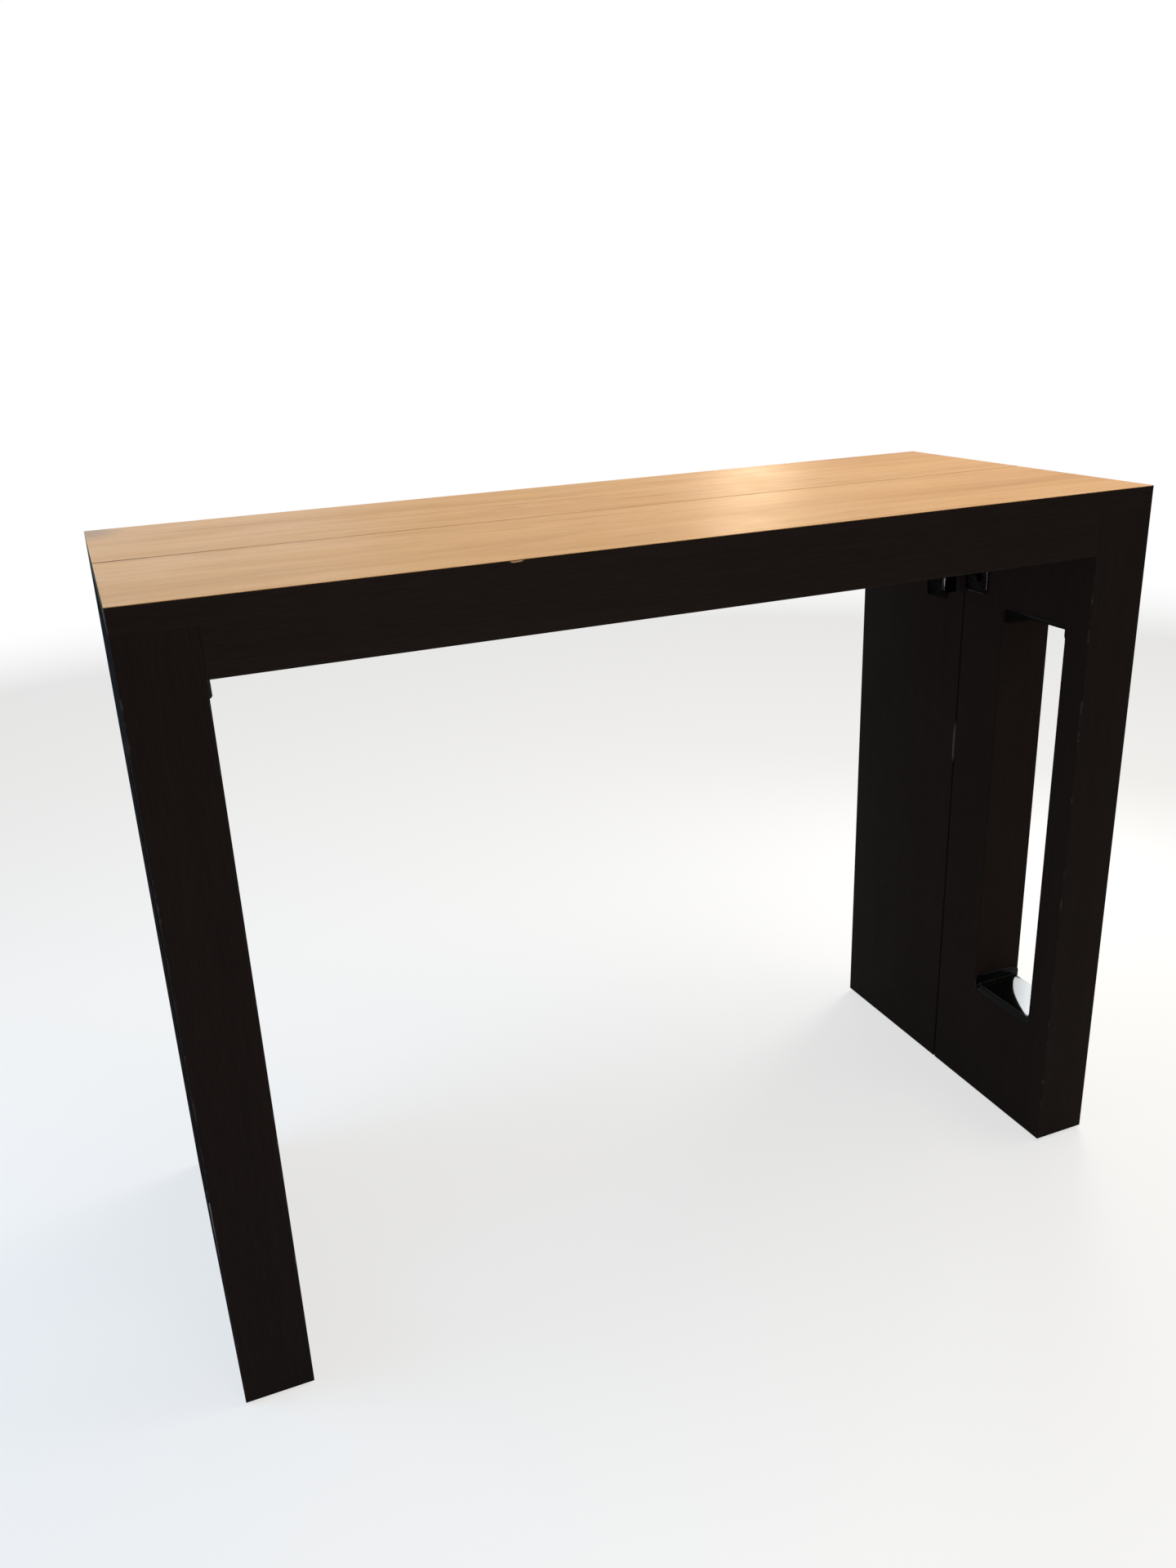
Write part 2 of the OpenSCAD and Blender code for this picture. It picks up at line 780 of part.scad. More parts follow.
// The lever stands open, with its arm up and its thumb tab towards the seam
module latch_lever() {
    color(steel_colour) translate([lever_x, latch_pivot_y, latch_z]) rotate([180, -90, 0]) {
        linear_extrude(height = lever_t) lever_outline();
        translate([0, tab_len, lever_t]) rotate([90, 0, 0]) linear_extrude(height = lever_t)
            mirror([0, 1]) far_round_flat([-lug_len / 2, lug_len / 2], [0, lug_depth + lever_t], lug_r);
    }
}

on_front() oak_sheet();  // front_oak_sheet
on_front() top_board(seam_pin_d + 2 * fit, seam_pin_in, front_flange_x);  // front_top_board
on_front() top_edge_band(seam_pin_d + 2 * fit);  // front_top_edge_band
on_front() apron();  // front_apron
on_left() on_front() front_leg_frame();  // front_leg_frame_left
on_front() front_leg_frame();  // front_leg_frame_right
on_left() on_front() front_inner_skin();  // front_leg_inner_skin_left
on_front() front_inner_skin();  // front_leg_inner_skin_right
on_left() on_front() outer_skin(true);  // front_leg_outer_skin_left
on_front() outer_skin(true);  // front_leg_outer_skin_right
on_both_sides() on_front() leg_edge_bands();  // front_leg_edge_bands
on_left() on_front() window_lining();  // window_lining_left
on_front() window_lining();  // window_lining_right
on_both_sides() on_front() translate([0, 0, window_sill]) window_cap();  // window_sill_caps
on_both_sides() on_front() translate([0, 0, window_top]) mirror([0, 0, 1]) window_cap();  // window_head_caps
on_both_sides() on_front() at_glides() glide();  // front_glides
on_both_sides() on_front() corner_brackets();  // front_corner_brackets
on_both_sides() on_front() bracket_screws();  // front_bracket_screws
on_both_sides() on_front() runner_packers(front_flange_x);  // front_runner_packers
on_both_sides() on_front() runner_screws(front_flange_x);  // front_runner_screws
seam_pins();
on_both_sides() latch_plate(-keeper_y, keeper_drop);  // latch_keepers
on_both_sides() headed_shaft(-keeper_y);  // keeper_studs
oak_sheet();  // rear_oak_sheet
top_board(sleeve_d + 2 * fit, sleeve_len, rear_flange_x);  // rear_top_board
top_edge_band(sleeve_d + 2 * fit);  // rear_top_edge_band
apron();  // rear_apron
on_left() rear_leg_frame();  // rear_leg_frame_left
rear_leg_frame();  // rear_leg_frame_right
color(paper_colour) on_both_sides() for (z = bay_floors) honeycomb(z);  // rear_leg_honeycomb
on_left() rear_inner_skin();  // rear_leg_inner_skin_left
rear_inner_skin();  // rear_leg_inner_skin_right
on_left() outer_skin(false);  // rear_leg_outer_skin_left
outer_skin(false);  // rear_leg_outer_skin_right
on_both_sides() leg_edge_bands();  // rear_leg_edge_bands
on_both_sides() at_glides() glide();  // rear_glides
on_both_sides() corner_brackets();  // rear_corner_brackets
on_both_sides() bracket_screws();  // rear_bracket_screws
on_both_sides() runner_packers(rear_flange_x);  // rear_runner_packers
on_both_sides() runner_screws(rear_flange_x);  // rear_runner_screws
seam_sleeves();
on_both_sides() latch_plate(latch_pivot_y, base_drop);  // latch_bases
on_both_sides() headed_shaft(latch_pivot_y);  // latch_rivets
on_left() runner_bar(1);  // runner_bar_1_left
runner_bar(1);  // runner_bar_1_right
on_left() runner_bar(2);  // runner_bar_2_left
runner_bar(2);  // runner_bar_2_right
on_left() runner_bar(3);  // runner_bar_3_left
runner_bar(3);  // runner_bar_3_right
on_left() runner_bar(4);  // runner_bar_4_left
runner_bar(4);  // runner_bar_4_right
on_left() runner_bar(5);  // runner_bar_5_left
runner_bar(5);  // runner_bar_5_right
stop_pins(2);  // stop_pins_2
stop_pins(3);  // stop_pins_3
stop_pins(4);  // stop_pins_4
stop_pins(5);  // stop_pins_5
on_left() latch_lever();  // latch_lever_left
latch_lever();  // latch_lever_right
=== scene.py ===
"""Looks of the extendable console table: finishes for its CAD pieces, softened copies of its
hardware, its screws, and the pale room that it stands in. Lengths are in metres."""

import json
import math

import bmesh
import bpy
import numpy as np
from mathutils import Matrix, Vector

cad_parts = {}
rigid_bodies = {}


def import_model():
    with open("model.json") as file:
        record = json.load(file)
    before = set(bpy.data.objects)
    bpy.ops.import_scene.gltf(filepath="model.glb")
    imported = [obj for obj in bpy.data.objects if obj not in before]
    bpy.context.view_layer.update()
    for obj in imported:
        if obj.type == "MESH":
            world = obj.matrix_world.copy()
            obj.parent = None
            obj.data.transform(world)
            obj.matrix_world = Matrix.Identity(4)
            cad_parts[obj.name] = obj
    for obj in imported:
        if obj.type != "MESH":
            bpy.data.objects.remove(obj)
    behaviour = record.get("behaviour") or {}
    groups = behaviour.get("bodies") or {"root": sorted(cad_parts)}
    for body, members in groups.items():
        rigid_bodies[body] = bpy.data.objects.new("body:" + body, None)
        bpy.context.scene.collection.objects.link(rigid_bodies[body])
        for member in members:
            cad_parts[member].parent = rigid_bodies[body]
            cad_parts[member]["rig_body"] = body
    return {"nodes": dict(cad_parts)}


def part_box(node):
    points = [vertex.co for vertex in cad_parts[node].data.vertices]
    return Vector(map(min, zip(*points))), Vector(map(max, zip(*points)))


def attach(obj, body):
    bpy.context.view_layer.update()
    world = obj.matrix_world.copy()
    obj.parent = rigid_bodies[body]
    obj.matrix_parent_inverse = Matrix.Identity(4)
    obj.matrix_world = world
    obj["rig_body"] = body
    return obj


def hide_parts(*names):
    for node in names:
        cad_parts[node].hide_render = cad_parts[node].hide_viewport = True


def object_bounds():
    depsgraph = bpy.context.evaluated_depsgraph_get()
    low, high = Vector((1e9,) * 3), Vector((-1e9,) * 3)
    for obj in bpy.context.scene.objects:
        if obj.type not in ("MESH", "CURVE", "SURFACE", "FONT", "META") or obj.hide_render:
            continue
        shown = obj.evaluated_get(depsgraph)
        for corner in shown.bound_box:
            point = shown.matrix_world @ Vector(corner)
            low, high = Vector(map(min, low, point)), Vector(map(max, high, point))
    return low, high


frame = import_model()
cad_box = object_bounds()
nodes = frame["nodes"]


# Leg cores. Each leg is built round a frame of raw chipboard: solid round the window in
# front, stiles and rails in the rear. It shows only at the foot, where the legs are sawn
# off square, and in the screw holes.

def add(tree, kind, inputs=None, **settings):
    """Adds a node. An input is given by name or number: a value, an output or several."""
    made = tree.nodes.new(kind)
    for name, value in settings.items():
        setattr(made, name, value)
    for name, value in (inputs or {}).items():
        socket = made.inputs[name]
        if isinstance(value, bpy.types.NodeSocket):
            tree.links.new(value, socket)
        elif isinstance(value, list):
            for output in value:
                tree.links.new(output, socket)
        elif socket.type == "RGBA":
            socket.default_value = (*value, 1.0)
        else:
            socket.default_value = value
    return made


def maths(tree, operation, *values):
    """One sum on plain numbers or outputs, such as maths(tree, "ADD", a, b)."""
    return add(tree, "ShaderNodeMath", dict(enumerate(values)), operation=operation).outputs[0]


def between(tree, value, low, high):
    """0 where the value is at low, 1 where it is at high, and a soft step from one to the other."""
    inputs = {"Value": value, "From Min": low, "From Max": high}
    return add(tree, "ShaderNodeMapRange", inputs, interpolation_type="SMOOTHSTEP").outputs[0]


# The sockets of a Mix node that carry colours
mix_factor = 0
mix_below = 6
mix_above = 7
mix_result = 2


def mix(tree, factor, below, above):
    """Lays the colour above over the colour below."""
    inputs = {mix_factor: factor, mix_below: below, mix_above: above}
    return add(tree, "ShaderNodeMix", inputs, data_type="RGBA").outputs[mix_result]


def own_place(tree):
    """The place of a point on its own piece, which stays with the piece when it moves."""
    return add(tree, "ShaderNodeTexCoord").outputs["Object"]


def scaled(tree, place, scale, shift=(0.0, 0.0, 0.0)):
    """A place stretched along each axis, and shifted."""
    inputs = {"Vector": place, "Scale": scale, "Location": shift}
    return add(tree, "ShaderNodeMapping", inputs).outputs[0]


def noise(tree, place, scale, detail=2.0, rough=0.5):
    """Soft noise from 0 to 1, with about so many swells to the metre as its scale."""
    inputs = {"Vector": place, "Scale": scale, "Detail": detail, "Roughness": rough}
    return add(tree, "ShaderNodeTexNoise", inputs).outputs[0]


def ramp(tree, factor, *stops):
    """Colours along a factor, each stop a place from 0 to 1 and a colour."""
    made = add(tree, "ShaderNodeValToRGB", {"Fac": factor})
    marks = made.color_ramp.elements
    while len(marks) < len(stops):
        marks.new(position=0.5)
    for mark, (at, colour) in zip(marks, stops):
        mark.position = at
        mark.color = (*colour, 1.0)
    return made.outputs[0]


def bump(tree, height, distance, strength=1.0):
    """A relief as deep as the distance where the height goes from 0 to 1."""
    inputs = {"Height": height, "Distance": distance, "Strength": strength}
    return add(tree, "ShaderNodeBump", inputs).outputs[0]


def finish(name, draw):
    """A material whose one surface shader gets its inputs from draw(tree)."""
    material = bpy.data.materials.new(name)
    material.use_nodes = True
    tree = material.node_tree
    tree.nodes.clear()
    surface = add(tree, "ShaderNodeBsdfPrincipled", draw(tree))
    add(tree, "ShaderNodeOutputMaterial", {"Surface": surface.outputs[0]})
    return material


def dress(material, *names):
    """Gives CAD nodes their finish."""
    for name in names:
        slots = nodes[name].data.materials
        slots.clear()
        slots.append(material)


flake_size = 0.0022
flake_flatness = 0.45
flake_shuffle = 3.0
flake_tones = ((0.0, (0.33, 0.19, 0.085)), (0.5, (0.52, 0.34, 0.17)), (1.0, (0.68, 0.49, 0.28)))
flake_gap = (0.16, 0.09, 0.045)
flake_gap_depth = 0.0003


def chipboard_colour(tree, place):
    """Pressed wood flakes, each with its own tone, and the dark gaps between them."""
    flat = scaled(tree, place, (1.0, 1.0, flake_flatness))
    flakes = add(tree, "ShaderNodeTexVoronoi", {"Vector": flat, "Scale": 1.0 / flake_size}).outputs
    shuffled = maths(tree, "FRACT", maths(tree, "MULTIPLY", flakes["Color"], flake_shuffle))
    gaps = between(tree, flakes["Distance"], low=0.45, high=0.75)
    return mix(tree, gaps, ramp(tree, shuffled, *flake_tones), flake_gap), gaps


def draw_chipboard(tree):
    colour, gaps = chipboard_colour(tree, own_place(tree))
    return {"Base Color": colour, "Roughness": 0.85, "Specular IOR Level": 0.25,
            "Normal": bump(tree, maths(tree, "SUBTRACT", 1.0, gaps), flake_gap_depth)}


dress(finish("chipboard", draw_chipboard), "front_leg_frame_left", "front_leg_frame_right",
      "rear_leg_frame_left", "rear_leg_frame_right")


# Honeycomb. Kraft paper cells stiffen the hollow bays of the rear legs. They are glued in
# before the face sheets close the leg, so nothing of them shows on the finished table.

paper_stretch = (1.0, 1.0, 3.0)
paper_tones = ((0.3, (0.36, 0.25, 0.13)), (0.7, (0.58, 0.44, 0.27)))
paper_relief = 0.0001


def draw_kraft_paper(tree):
    place = scaled(tree, own_place(tree), paper_stretch)
    fibres = noise(tree, place, scale=900.0, detail=4.0, rough=0.7)
    return {"Base Color": ramp(tree, fibres, *paper_tones), "Roughness": 0.9,
            "Specular IOR Level": 0.2, "Normal": bump(tree, fibres, paper_relief)}


dress(finish("kraft_paper", draw_kraft_paper), "rear_leg_honeycomb")


# Dark face sheets, edge bands and window linings of the legs. They are wrapped in an
# espresso foil with a fine upright grain and a satin face. Along the arrises the foil is
# lighter in patches: partly rubbed thin, partly a painted highlight. A long, lighter grey
# ragged patch is painted on the rear half's seam arris at the right.

leg_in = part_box("front_leg_inner_skin_right")[0].x
half_length = cad_box[1].x
half_depth = cad_box[1].y
leg_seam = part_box("rear_leg_edge_bands")[0].y
apron_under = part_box("front_apron")[0].z
top_height = cad_box[1].z

# The axes: along the table, from front to back, and up
lengthwise = 0
crosswise = 1
upright = 2

foil_dark = (0.0109, 0.0077, 0.0070)
foil_light = (0.0164, 0.0118, 0.0107)
foil_rubbed_and_highlit = (0.075, 0.068, 0.063)
foil_fibre = 0.0006
foil_fibre_share = 0.75
foil_stretch = 0.025
foil_relief = 0.00004
satin_least = 0.55
satin_spread = 0.20

arris_wear = 0.0008
arris_fade = 2.5
arris_wear_and_highlight = 0.6
apron_fade = 0.004
# A long, lighter grey ragged patch painted on the rear half's seam arris at the right.
seam_patch = Vector((leg_in, leg_seam, 0.448))
seam_patch_size = (0.0035, 0.0024, 0.0240)
seam_patch_colour = (0.085, 0.074, 0.068)
chip_ragged = 0.8


def vectors(tree, operation, *values):
    """One sum on vectors; a length comes out as a number."""
    made = add(tree, "ShaderNodeVectorMath", dict(enumerate(values)), operation=operation)
    return made.outputs["Value" if operation == "LENGTH" else "Vector"]


def coordinate(tree, vector, axis):
    return add(tree, "ShaderNodeSeparateXYZ", {0: vector}).outputs[axis]


def away_from(tree, value, level):
    """The distance between a value and a level, either way."""
    return maths(tree, "ABSOLUTE", maths(tree, "SUBTRACT", value, level))


def varied(tree, least, spread, pattern):
    """A number that a pattern raises from its least by up to its spread."""
    return maths(tree, "ADD", least, maths(tree, "MULTIPLY", pattern, spread))


def weighed(tree, first, second, share):
    """Two patterns added up; share is the first one's weight."""
    return maths(tree, "ADD", maths(tree, "MULTIPLY", first, share),
                 maths(tree, "MULTIPLY", second, 1.0 - share))


def along_arris(tree, place, first, second):
    """1 on the arrises where two sets of planes meet; each set is an axis and its distances."""
    far = None
    for axis, planes in (first, second):
        from_middle = maths(tree, "ABSOLUTE", coordinate(tree, place, axis))
        near = None
        for plane in planes:
            gap = away_from(tree, from_middle, plane)
            near = gap if near is None else maths(tree, "MINIMUM", near, gap)
        far = near if far is None else maths(tree, "MAXIMUM", far, near)
    return between(tree, far, arris_fade * arris_wear, arris_wear)


def below_apron(tree, place):
    return between(tree, coordinate(tree, place, upright), apron_under, apron_under - apron_fade)


def chip(tree, place, centre, size):
    """1 inside a ragged oval round the centre."""
    oval = vectors(tree, "DIVIDE", vectors(tree, "SUBTRACT", place, centre), size)
    reach = vectors(tree, "LENGTH", oval)
    ragged = maths(tree, "MULTIPLY", noise(tree, place, scale=700.0, detail=3.0), chip_ragged)
    return between(tree, maths(tree, "ADD", reach, ragged), low=1.5, high=1.25)


def foil(tree, grain, arrises, chips=(), dark=foil_dark, light=foil_light, sheen=0.02):
    """Espresso foil: grain is the axis that its fibres run along."""
    place = own_place(tree)
    stretch = [1.0, 1.0, 1.0]
    stretch[grain] = foil_stretch
    along_grain = scaled(tree, place, tuple(stretch))
    fibres = noise(tree, along_grain, scale=1.0 / foil_fibre, detail=3.0, rough=0.6)
    bands = noise(tree, along_grain, scale=60.0, detail=3.0, rough=0.55)
    smudges = noise(tree, place, scale=9.0, detail=4.0, rough=0.6)
    tone = weighed(tree, fibres, bands, foil_fibre_share)
    colour = mix(tree, between(tree, tone, low=0.3, high=0.7), dark, light)
    rub = noise(tree, place, scale=45.0, detail=5.0, rough=0.7)
    rubbed = between(tree, rub, low=0.50, high=0.72)
    for first, second in arrises:
        worn_and_highlit = maths(tree, "MULTIPLY", along_arris(tree, place, first, second), rubbed)
        if grain == upright:
            worn_and_highlit = maths(tree, "MULTIPLY", worn_and_highlit, below_apron(tree, place))
        # The arrises' lighter colour is partly rubbed foil, partly a painted highlight.
        colour = mix(tree, maths(tree, "MULTIPLY", worn_and_highlit, arris_wear_and_highlight), colour, foil_rubbed_and_highlit)
    for centre, size, bare in chips:
        colour = mix(tree, chip(tree, place, centre, size), colour, bare)
    pores = between(tree, fibres, low=0.62, high=0.50)
    return {"Base Color": colour, "Roughness": varied(tree, satin_least, satin_spread, smudges),
            "Specular IOR Level": sheen, "Normal": bump(tree, pores, foil_relief, strength=0.6)}


leg_arrises = [((lengthwise, (leg_in, half_length)), (crosswise, (half_depth,)))]
# The outer skins' foil is drawn lighter and cooler than the legs' foil: a painted reflection of cool
# daylight on the outer faces.
outer_sheen_dark = (0.0120, 0.0098, 0.0096)
outer_sheen_light = (0.0180, 0.0146, 0.0140)
leg_foil = finish("espresso_foil_upright", lambda tree: foil(
    tree, upright, leg_arrises, chips=[(seam_patch, seam_patch_size, seam_patch_colour)]))
outer_foil = finish("espresso_foil_outer", lambda tree: foil(
    tree, upright, leg_arrises, dark=outer_sheen_dark, light=outer_sheen_light, sheen=0.0))
for half in ("front", "rear"):
    dress(leg_foil, half + "_leg_edge_bands")
    for side in ("left", "right"):
        dress(leg_foil, f"{half}_leg_inner_skin_{side}")
        dress(outer_foil, f"{half}_leg_outer_skin_{side}")

# The linings' foil is drawn lighter than the legs' foil: painted light on the window reveals.
lining_lit_dark = (0.0148, 0.0100, 0.0084)
lining_lit_light = (0.0215, 0.0146, 0.0122)


def own_normal(tree):
    """The way a face looks, on its own piece."""
    return add(tree, "ShaderNodeTexCoord").outputs["Normal"]


def facing(tree, axis):
    """How far a face looks along an axis of its piece, from 0 to 1 either way."""
    return maths(tree, "ABSOLUTE", coordinate(tree, own_normal(tree), axis))


def draw_lining(tree):
    """Painted light: the lining is lighter than the legs' foil. Its edges, which lie in the leg's
    faces, are as dark as these.
    """
    made = foil(tree, upright, [], dark=lining_lit_dark, light=lining_lit_light)
    in_leg_face = between(tree, facing(tree, lengthwise), low=0.5, high=0.8)
    made["Base Color"] = mix(tree, in_leg_face, made["Base Color"], foil_dark)
    return made


dress(finish("lining_foil", draw_lining), "window_lining_left", "window_lining_right")


# Window caps. A glossy moulded tray covers the sill and the head of each window; it is
# pressed into the lining and its two upstands hug the jambs. The copies here have the
# soft edges of a moulding; on the sill these edges carry a painted highlight, and on the head they
# are dull.

same_corner = 1e-6
flat_within = math.radians(0.5)
sharp_beyond = math.radians(25.0)
creased_beyond = math.radians(40.0)
edge_strip_length = 0.003


def clean_copy(name):
    """A CAD node's mesh with its loose triangles joined and its flat faces made whole."""
    copied = bmesh.new()
    copied.from_mesh(nodes[name].data)
    bmesh.ops.remove_doubles(copied, verts=copied.verts, dist=same_corner)
    bmesh.ops.dissolve_limit(copied, angle_limit=flat_within, verts=copied.verts, edges=copied.edges)
    return copied


def softened(name, width, material, edge_material=None):
    """Stands in for a CAD node, its sharp edges rounded; the long ones can have their own finish."""
    soft = clean_copy(name)
    sharp = [edge for edge in soft.edges
             if len(edge.link_faces) == 2 and edge.calc_face_angle(0.0) > sharp_beyond]
    bmesh.ops.bevel(soft, geom=sharp, offset=width, offset_type="OFFSET", segments=2,
                    profile=0.6, affect="EDGES", clamp_overlap=True,
                    material=1 if edge_material else -1)
    for face in soft.faces:
        if edge_material and max(edge.calc_length() for edge in face.edges) < edge_strip_length:
            face.material_index = 0
    mesh = bpy.data.meshes.new(name + "_soft")
    soft.to_mesh(mesh)
    soft.free()
    mesh.shade_smooth()
    mesh.set_sharp_from_angle(angle=creased_beyond)
    mesh.materials.append(material)
    if edge_material:
        mesh.materials.append(edge_material)
    piece = bpy.data.objects.new(name + "_soft", mesh)
    bpy.context.scene.collection.objects.link(piece)
    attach(piece, nodes[name]["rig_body"])
    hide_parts(name)
    return piece


cap_edge = 0.0004
polish_least = 0.05
polish_spread = 0.05
cap_relief = 0.0001
sill_face = (0.0030, 0.0031, 0.0032)
sill_dust = (0.010, 0.010, 0.010)
# The sill's soft edges are painted bright: a painted highlight.
sill_edge_highlight = (0.11, 0.11, 0.115)
sill_edge_highlight_dust = (0.03, 0.03, 0.03)
head_face = (0.0060, 0.0055, 0.0055)
head_dust = (0.030, 0.030, 0.031)


def gloss(tree, clean, dusty, shine=0.06):
    """Moulded plastic, polished and fairly clean."""
    place = own_place(tree)
    dust = between(tree, noise(tree, place, scale=600.0, detail=4.0, rough=0.7), low=0.60, high=0.75)
    haze = noise(tree, place, scale=30.0, detail=3.0)
    return {"Base Color": mix(tree, dust, clean, dusty),
            "Roughness": varied(tree, polish_least, polish_spread, haze),
            "Specular IOR Level": shine, "Normal": bump(tree, haze, cap_relief, strength=0.3)}


gloss_black = finish("gloss_black", lambda tree: gloss(tree, sill_face, sill_dust))
gloss_edge_highlight = finish("gloss_edge_highlight", lambda tree: gloss(tree, sill_edge_highlight, sill_edge_highlight_dust))
gloss_dull = finish("gloss_dull", lambda tree: gloss(tree, head_face, head_dust, shine=0.005))
softened("window_sill_caps", cap_edge, gloss_black, gloss_edge_highlight)
softened("window_head_caps", cap_edge, gloss_dull)


# Floor glides, runner packers and seam sleeves. All are natural nylon: the glides are
# knocked into the legs' feet, the packers lie between the fixed runner bars and the boards,
# and the sleeves are pressed into the rear board to receive the seam pins.

glide_edge = 0.0006
nylon_dark = (0.62, 0.60, 0.54)
nylon_light = (0.76, 0.74, 0.68)
nylon_grime = (0.34, 0.31, 0.26)
nylon_least = 0.42
nylon_spread = 0.2
nylon_relief = 0.00008


def draw_nylon(tree):
    place = own_place(tree)
    cloud = noise(tree, place, scale=120.0, detail=3.0)
    grime = between(tree, noise(tree, place, scale=260.0, detail=5.0, rough=0.7), low=0.52, high=0.80)
    return {"Base Color": mix(tree, grime, mix(tree, cloud, nylon_dark, nylon_light), nylon_grime),
            "Roughness": varied(tree, nylon_least, nylon_spread, cloud),
            "Subsurface Weight": 0.15, "Subsurface Scale": 0.002,
            "Normal": bump(tree, cloud, nylon_relief)}


nylon = finish("nylon", draw_nylon)
dress(nylon, "front_runner_packers", "rear_runner_packers", "seam_sleeves")
for name in ("front_glides", "rear_glides"):
    softened(name, glide_edge, nylon)


# Top boards. Two chipboard boards lie on the legs. Their undersides carry the espresso
# foil, with its grain along the table; their edges and bores stay raw.

raw_roughness = 0.4


def draw_board(tree):
    made = foil(tree, lengthwise, [])
    raw, gaps = chipboard_colour(tree, own_place(tree))
    underside = between(tree, coordinate(tree, own_normal(tree), upright), low=-0.6, high=-0.8)
    bare = maths(tree, "SUBTRACT", 1.0, underside)
    made["Base Color"] = mix(tree, underside, raw, made["Base Color"])
    made["Roughness"] = varied(tree, made["Roughness"], raw_roughness, bare)
    return made


dress(finish("board", draw_board), "front_top_board", "rear_top_board")


# Seam pins. Three turned beech pins stand out of the front board's seam edge and line
# the two tops up.

beech_stretch = (1.0, 0.06, 1.0)
beech_tones = ((0.3, (0.48, 0.29, 0.14)), (0.7, (0.66, 0.46, 0.27)))
fleck_stretch = (1.0, 0.2, 1.0)
fleck_colour = (0.30, 0.16, 0.08)
beech_relief = 0.0001


def draw_beech(tree):
    place = own_place(tree)
    grain = noise(tree, scaled(tree, place, beech_stretch), scale=900.0, detail=3.0, rough=0.6)
    flecks = between(tree, noise(tree, scaled(tree, place, fleck_stretch), scale=2200.0),
                     low=0.66, high=0.74)
    return {"Base Color": mix(tree, flecks, ramp(tree, grain, *beech_tones), fleck_colour),
            "Roughness": 0.6, "Normal": bump(tree, grain, beech_relief)}


dress(finish("beech", draw_beech), "seam_pins")


# Top edge bands and aprons. Both are flush with the legs and carry the same foil with its
# grain along the table, drawn lighter than on the legs: a painted light. The front band's
# upper arris has a small chip, left of the middle.

band_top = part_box("front_top_edge_band")[1].z
top_chip_lift = 0.0005
top_chip = Vector((-0.179, -half_depth, band_top + top_chip_lift))
top_chip_size = (0.0065, 0.0020, 0.0019)
top_chip_wood = (0.52, 0.33, 0.17)
apron_arrises = [((lengthwise, (half_length,)), (crosswise, (half_depth,)))]
# Lighter than the legs' foil: painted light on the front faces.
apron_lit_dark = (0.0122, 0.0086, 0.0074)
apron_lit_light = (0.0184, 0.0132, 0.0114)

apron_foil = finish("espresso_foil_lengthwise", lambda tree: foil(
    tree, lengthwise, apron_arrises, chips=[(top_chip, top_chip_size, top_chip_wood)],
    dark=apron_lit_dark, light=apron_lit_light))
dress(apron_foil, "front_top_edge_band", "rear_top_edge_band", "front_apron", "rear_apron")


# Oak sheets. Each half of the top is faced with a thin honey-oak laminate, satin, with a
# soft grain along the table. Their streaks don't meet at the seam, and their cut edges are
# dark; the seam's cut edge is painted lighter towards the right, a painted light. Painted
# shade darkens the oak along the seam, most at the left end, and a painted grey shade lies
# on the back left corner.

oak_pale = (0.655, 0.385, 0.168)
oak_honey = (0.570, 0.316, 0.122)
oak_streak = (0.430, 0.205, 0.068)
oak_pore = (0.34, 0.17, 0.062)
oak_edge = (0.016, 0.011, 0.009)
# Painted shade along the seam
oak_seam_shade = (0.16, 0.075, 0.05)
# Painted grey shade on the back left corner
oak_corner_shade = (0.17, 0.155, 0.145)

# Swells to the metre of each layer of the grain, on each axis
sway_swells = (2.2, 6.0, 1.0)
board_swells = (1.5, 17.0, 1.0)
streak_swells = (6.0, 60.0, 1.0)
dash_swells = (14.0, 180.0, 1.0)
fibre_swells = (30.0, 1500.0, 1.0)
pore_swells = (90.0, 2600.0, 1.0)
figure_swells = (1.6, 7.0, 1.0)
patch_swells = (22.0, 1.0, 1.0)

# How strongly each layer shows
sway_reach = 0.035
board_share = 0.55
dash_show = 0.62
fibre_show = 0.18
pore_show = 0.40

seam_shade_least = 0.12
seam_shade_at_left = 0.60
shaded_corner = (-half_length, half_depth, top_height)
corner_shade_stretch = (1.0, 0.5, 1.0)
corner_shade_show = 0.45
lit_seam_edge_show = 0.8
oak_least = 0.34
oak_spread = 0.14
oak_relief = 0.00006
oak_fibre_relief = 0.5


def layer(tree, place, swells, detail=2.0, rough=0.5):
    """Noise with its own number of swells to the metre on each axis."""
    return noise(tree, scaled(tree, place, swells), scale=1.0, detail=detail, rough=rough)


